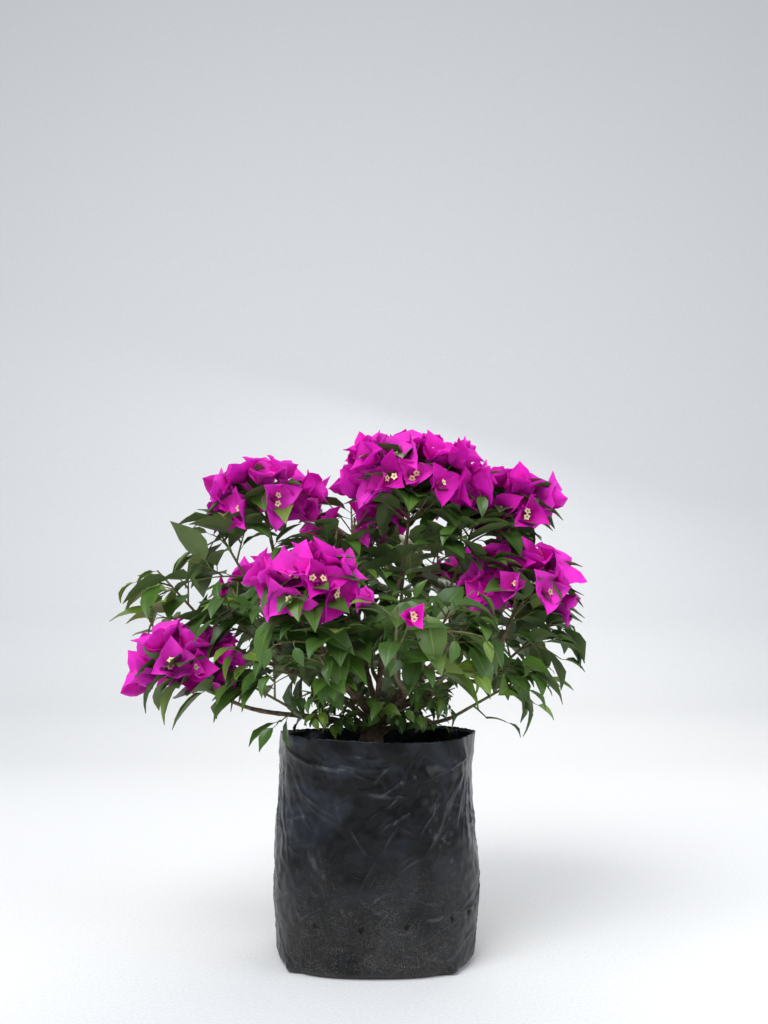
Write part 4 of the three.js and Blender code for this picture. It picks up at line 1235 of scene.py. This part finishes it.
def star_mesh(stars):
    """Corners, faces and finish numbers of the stars: five lobes round an open throat."""
    corners, faces, numbers = [], [], []
    for tip, heading, turn in stars:
        base = len(corners)
        corners += [tip - heading * 0.1, tip - heading * 0.9]
        around = [fanned(heading, turn + k * 2 * math.pi / STAR_CORNERS, math.pi / 2)
                  for k in range(STAR_CORNERS)]
        corners += [tip + aside * THROAT + heading * 0.5 for aside in around]
        for k, aside in enumerate(around):
            radius, rise = (STAR_INNER, 0.7) if k % 2 else (STAR_OUTER, 1.1)
            corners.append(tip + aside * radius + heading * rise)
        for k in range(STAR_CORNERS):
            a, b = base + 2 + k, base + 2 + (k + 1) % STAR_CORNERS
            outer_a, outer_b = a + STAR_CORNERS, b + STAR_CORNERS
            faces += [(base, a, b), (a, outer_a, outer_b, b), (base + 1, outer_b, outer_a)]
            numbers += [1, 0, 0]
    return corners, faces, numbers


# A matt skin of one colour, faintly uneven: petal skin, or the paint of the backdrop.
def plain_finish(name, colour, roughness):
    material, at = new_material(name)
    tint = mottled(material, at, colour, {"Scale": 300.0}, (0.0, 1.0), (0.85, 1.1))
    shader = add_node(material, "BsdfPrincipled", {"Base Color": tint, "Roughness": roughness})
    add_node(material, "OutputMaterial", {"Surface": shader})
    return material


flower_paths, flower_stars = flower_parts()
flower_corners, flower_faces = tubes(flower_paths)
flower_tubes = joined_piece("flower_tubes", flower_corners, flower_faces,
                            [plain_finish("flower_tube_skin", "#a33f7c", 0.6)])
star_corners, star_faces, star_numbers = star_mesh(flower_stars)
star_skins = [plain_finish("flower_star_skin", "#f6eeb4", 0.55),
              plain_finish("flower_throat_skin", "#a8913a", 0.6)]
flower_stars_piece = joined_piece("flower_stars", star_corners, star_faces, star_skins, star_numbers)
for piece in (flower_tubes, flower_stars_piece):
    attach(piece, "root")

# The studio
# A pale floor that sweeps up into a backdrop, one large soft light above and in front, a weaker
# one at the side and a dim one behind.

SWEEP_PROFILE = [(-6000, 0), (1800, 0), (2500, 120), (2900, 500), (3050, 1100), (3100, 5000)]
SWEEP_HALF = 6000
AIR_STRENGTH = 0.62


def sweep():
    bm = bmesh.new()
    chain = [bm.verts.new((-SWEEP_HALF, y, z)) for y, z in SWEEP_PROFILE]
    edges = [bm.edges.new(pair) for pair in zip(chain, chain[1:])]
    made = bmesh.ops.extrude_edge_only(bm, edges=edges)["geom"]
    moved = [v for v in made if isinstance(v, bmesh.types.BMVert)]
    bmesh.ops.translate(bm, verts=moved, vec=(2 * SWEEP_HALF, 0, 0))
    bmesh.ops.recalc_face_normals(bm, faces=bm.faces)
    return bm


def add_light(name, place_at, aim_at, size, power, colour):
    data = bpy.data.lights.new(name, "AREA")
    data.shape, data.size, data.energy = "SQUARE", size, power
    data.color = linear(colour)[:3]
    light = bpy.data.objects.new(name, data)
    light.location = place_at
    light.rotation_euler = (Vector(aim_at) - Vector(place_at)).to_track_quat("-Z", "Y").to_euler()
    bpy.context.scene.collection.objects.link(light)


backdrop = finished(sweep(), "backdrop", plain_finish("matt_backdrop_paint", "#e4e5e6", 0.9))
add_light("key", (-1.2, -2.0, 2.6), (0, 0, 0.35), 2.2, 95, "#ffffff")
add_light("side", (2.4, -1.2, 1.2), (0, 0, 0.3), 1.6, 26, "#f2f6ff")
add_light("behind", (0.6, 2.0, 2.4), (0, 0, 0.4), 1.8, 34, "#fffaf0")
world = bpy.data.worlds.new("studio_air")
world.use_nodes = True
air = world.node_tree.nodes["Background"]
air.inputs["Color"].default_value = linear("#e9eef5")
air.inputs["Strength"].default_value = AIR_STRENGTH
bpy.context.scene.world = world
bpy.context.scene.view_settings.view_transform = "Standard"

# The camera stands a metre away, a little above the rim of the bag, and looks slightly up.
CAMERA_PLACE = (0.009, -1.043, 0.315)
CAMERA_UP_DEGREES = 9.5
CAMERA_LENS, CAMERA_SENSOR = 30.94, 36

camera_data = bpy.data.cameras.new("camera")
camera_data.lens = CAMERA_LENS
camera_data.sensor_width = CAMERA_SENSOR
camera = bpy.data.objects.new("camera", camera_data)
camera.location = CAMERA_PLACE
camera.rotation_euler = (math.radians(90 + CAMERA_UP_DEGREES), 0, 0)
bpy.context.scene.collection.objects.link(camera)
bpy.context.scene.camera = camera
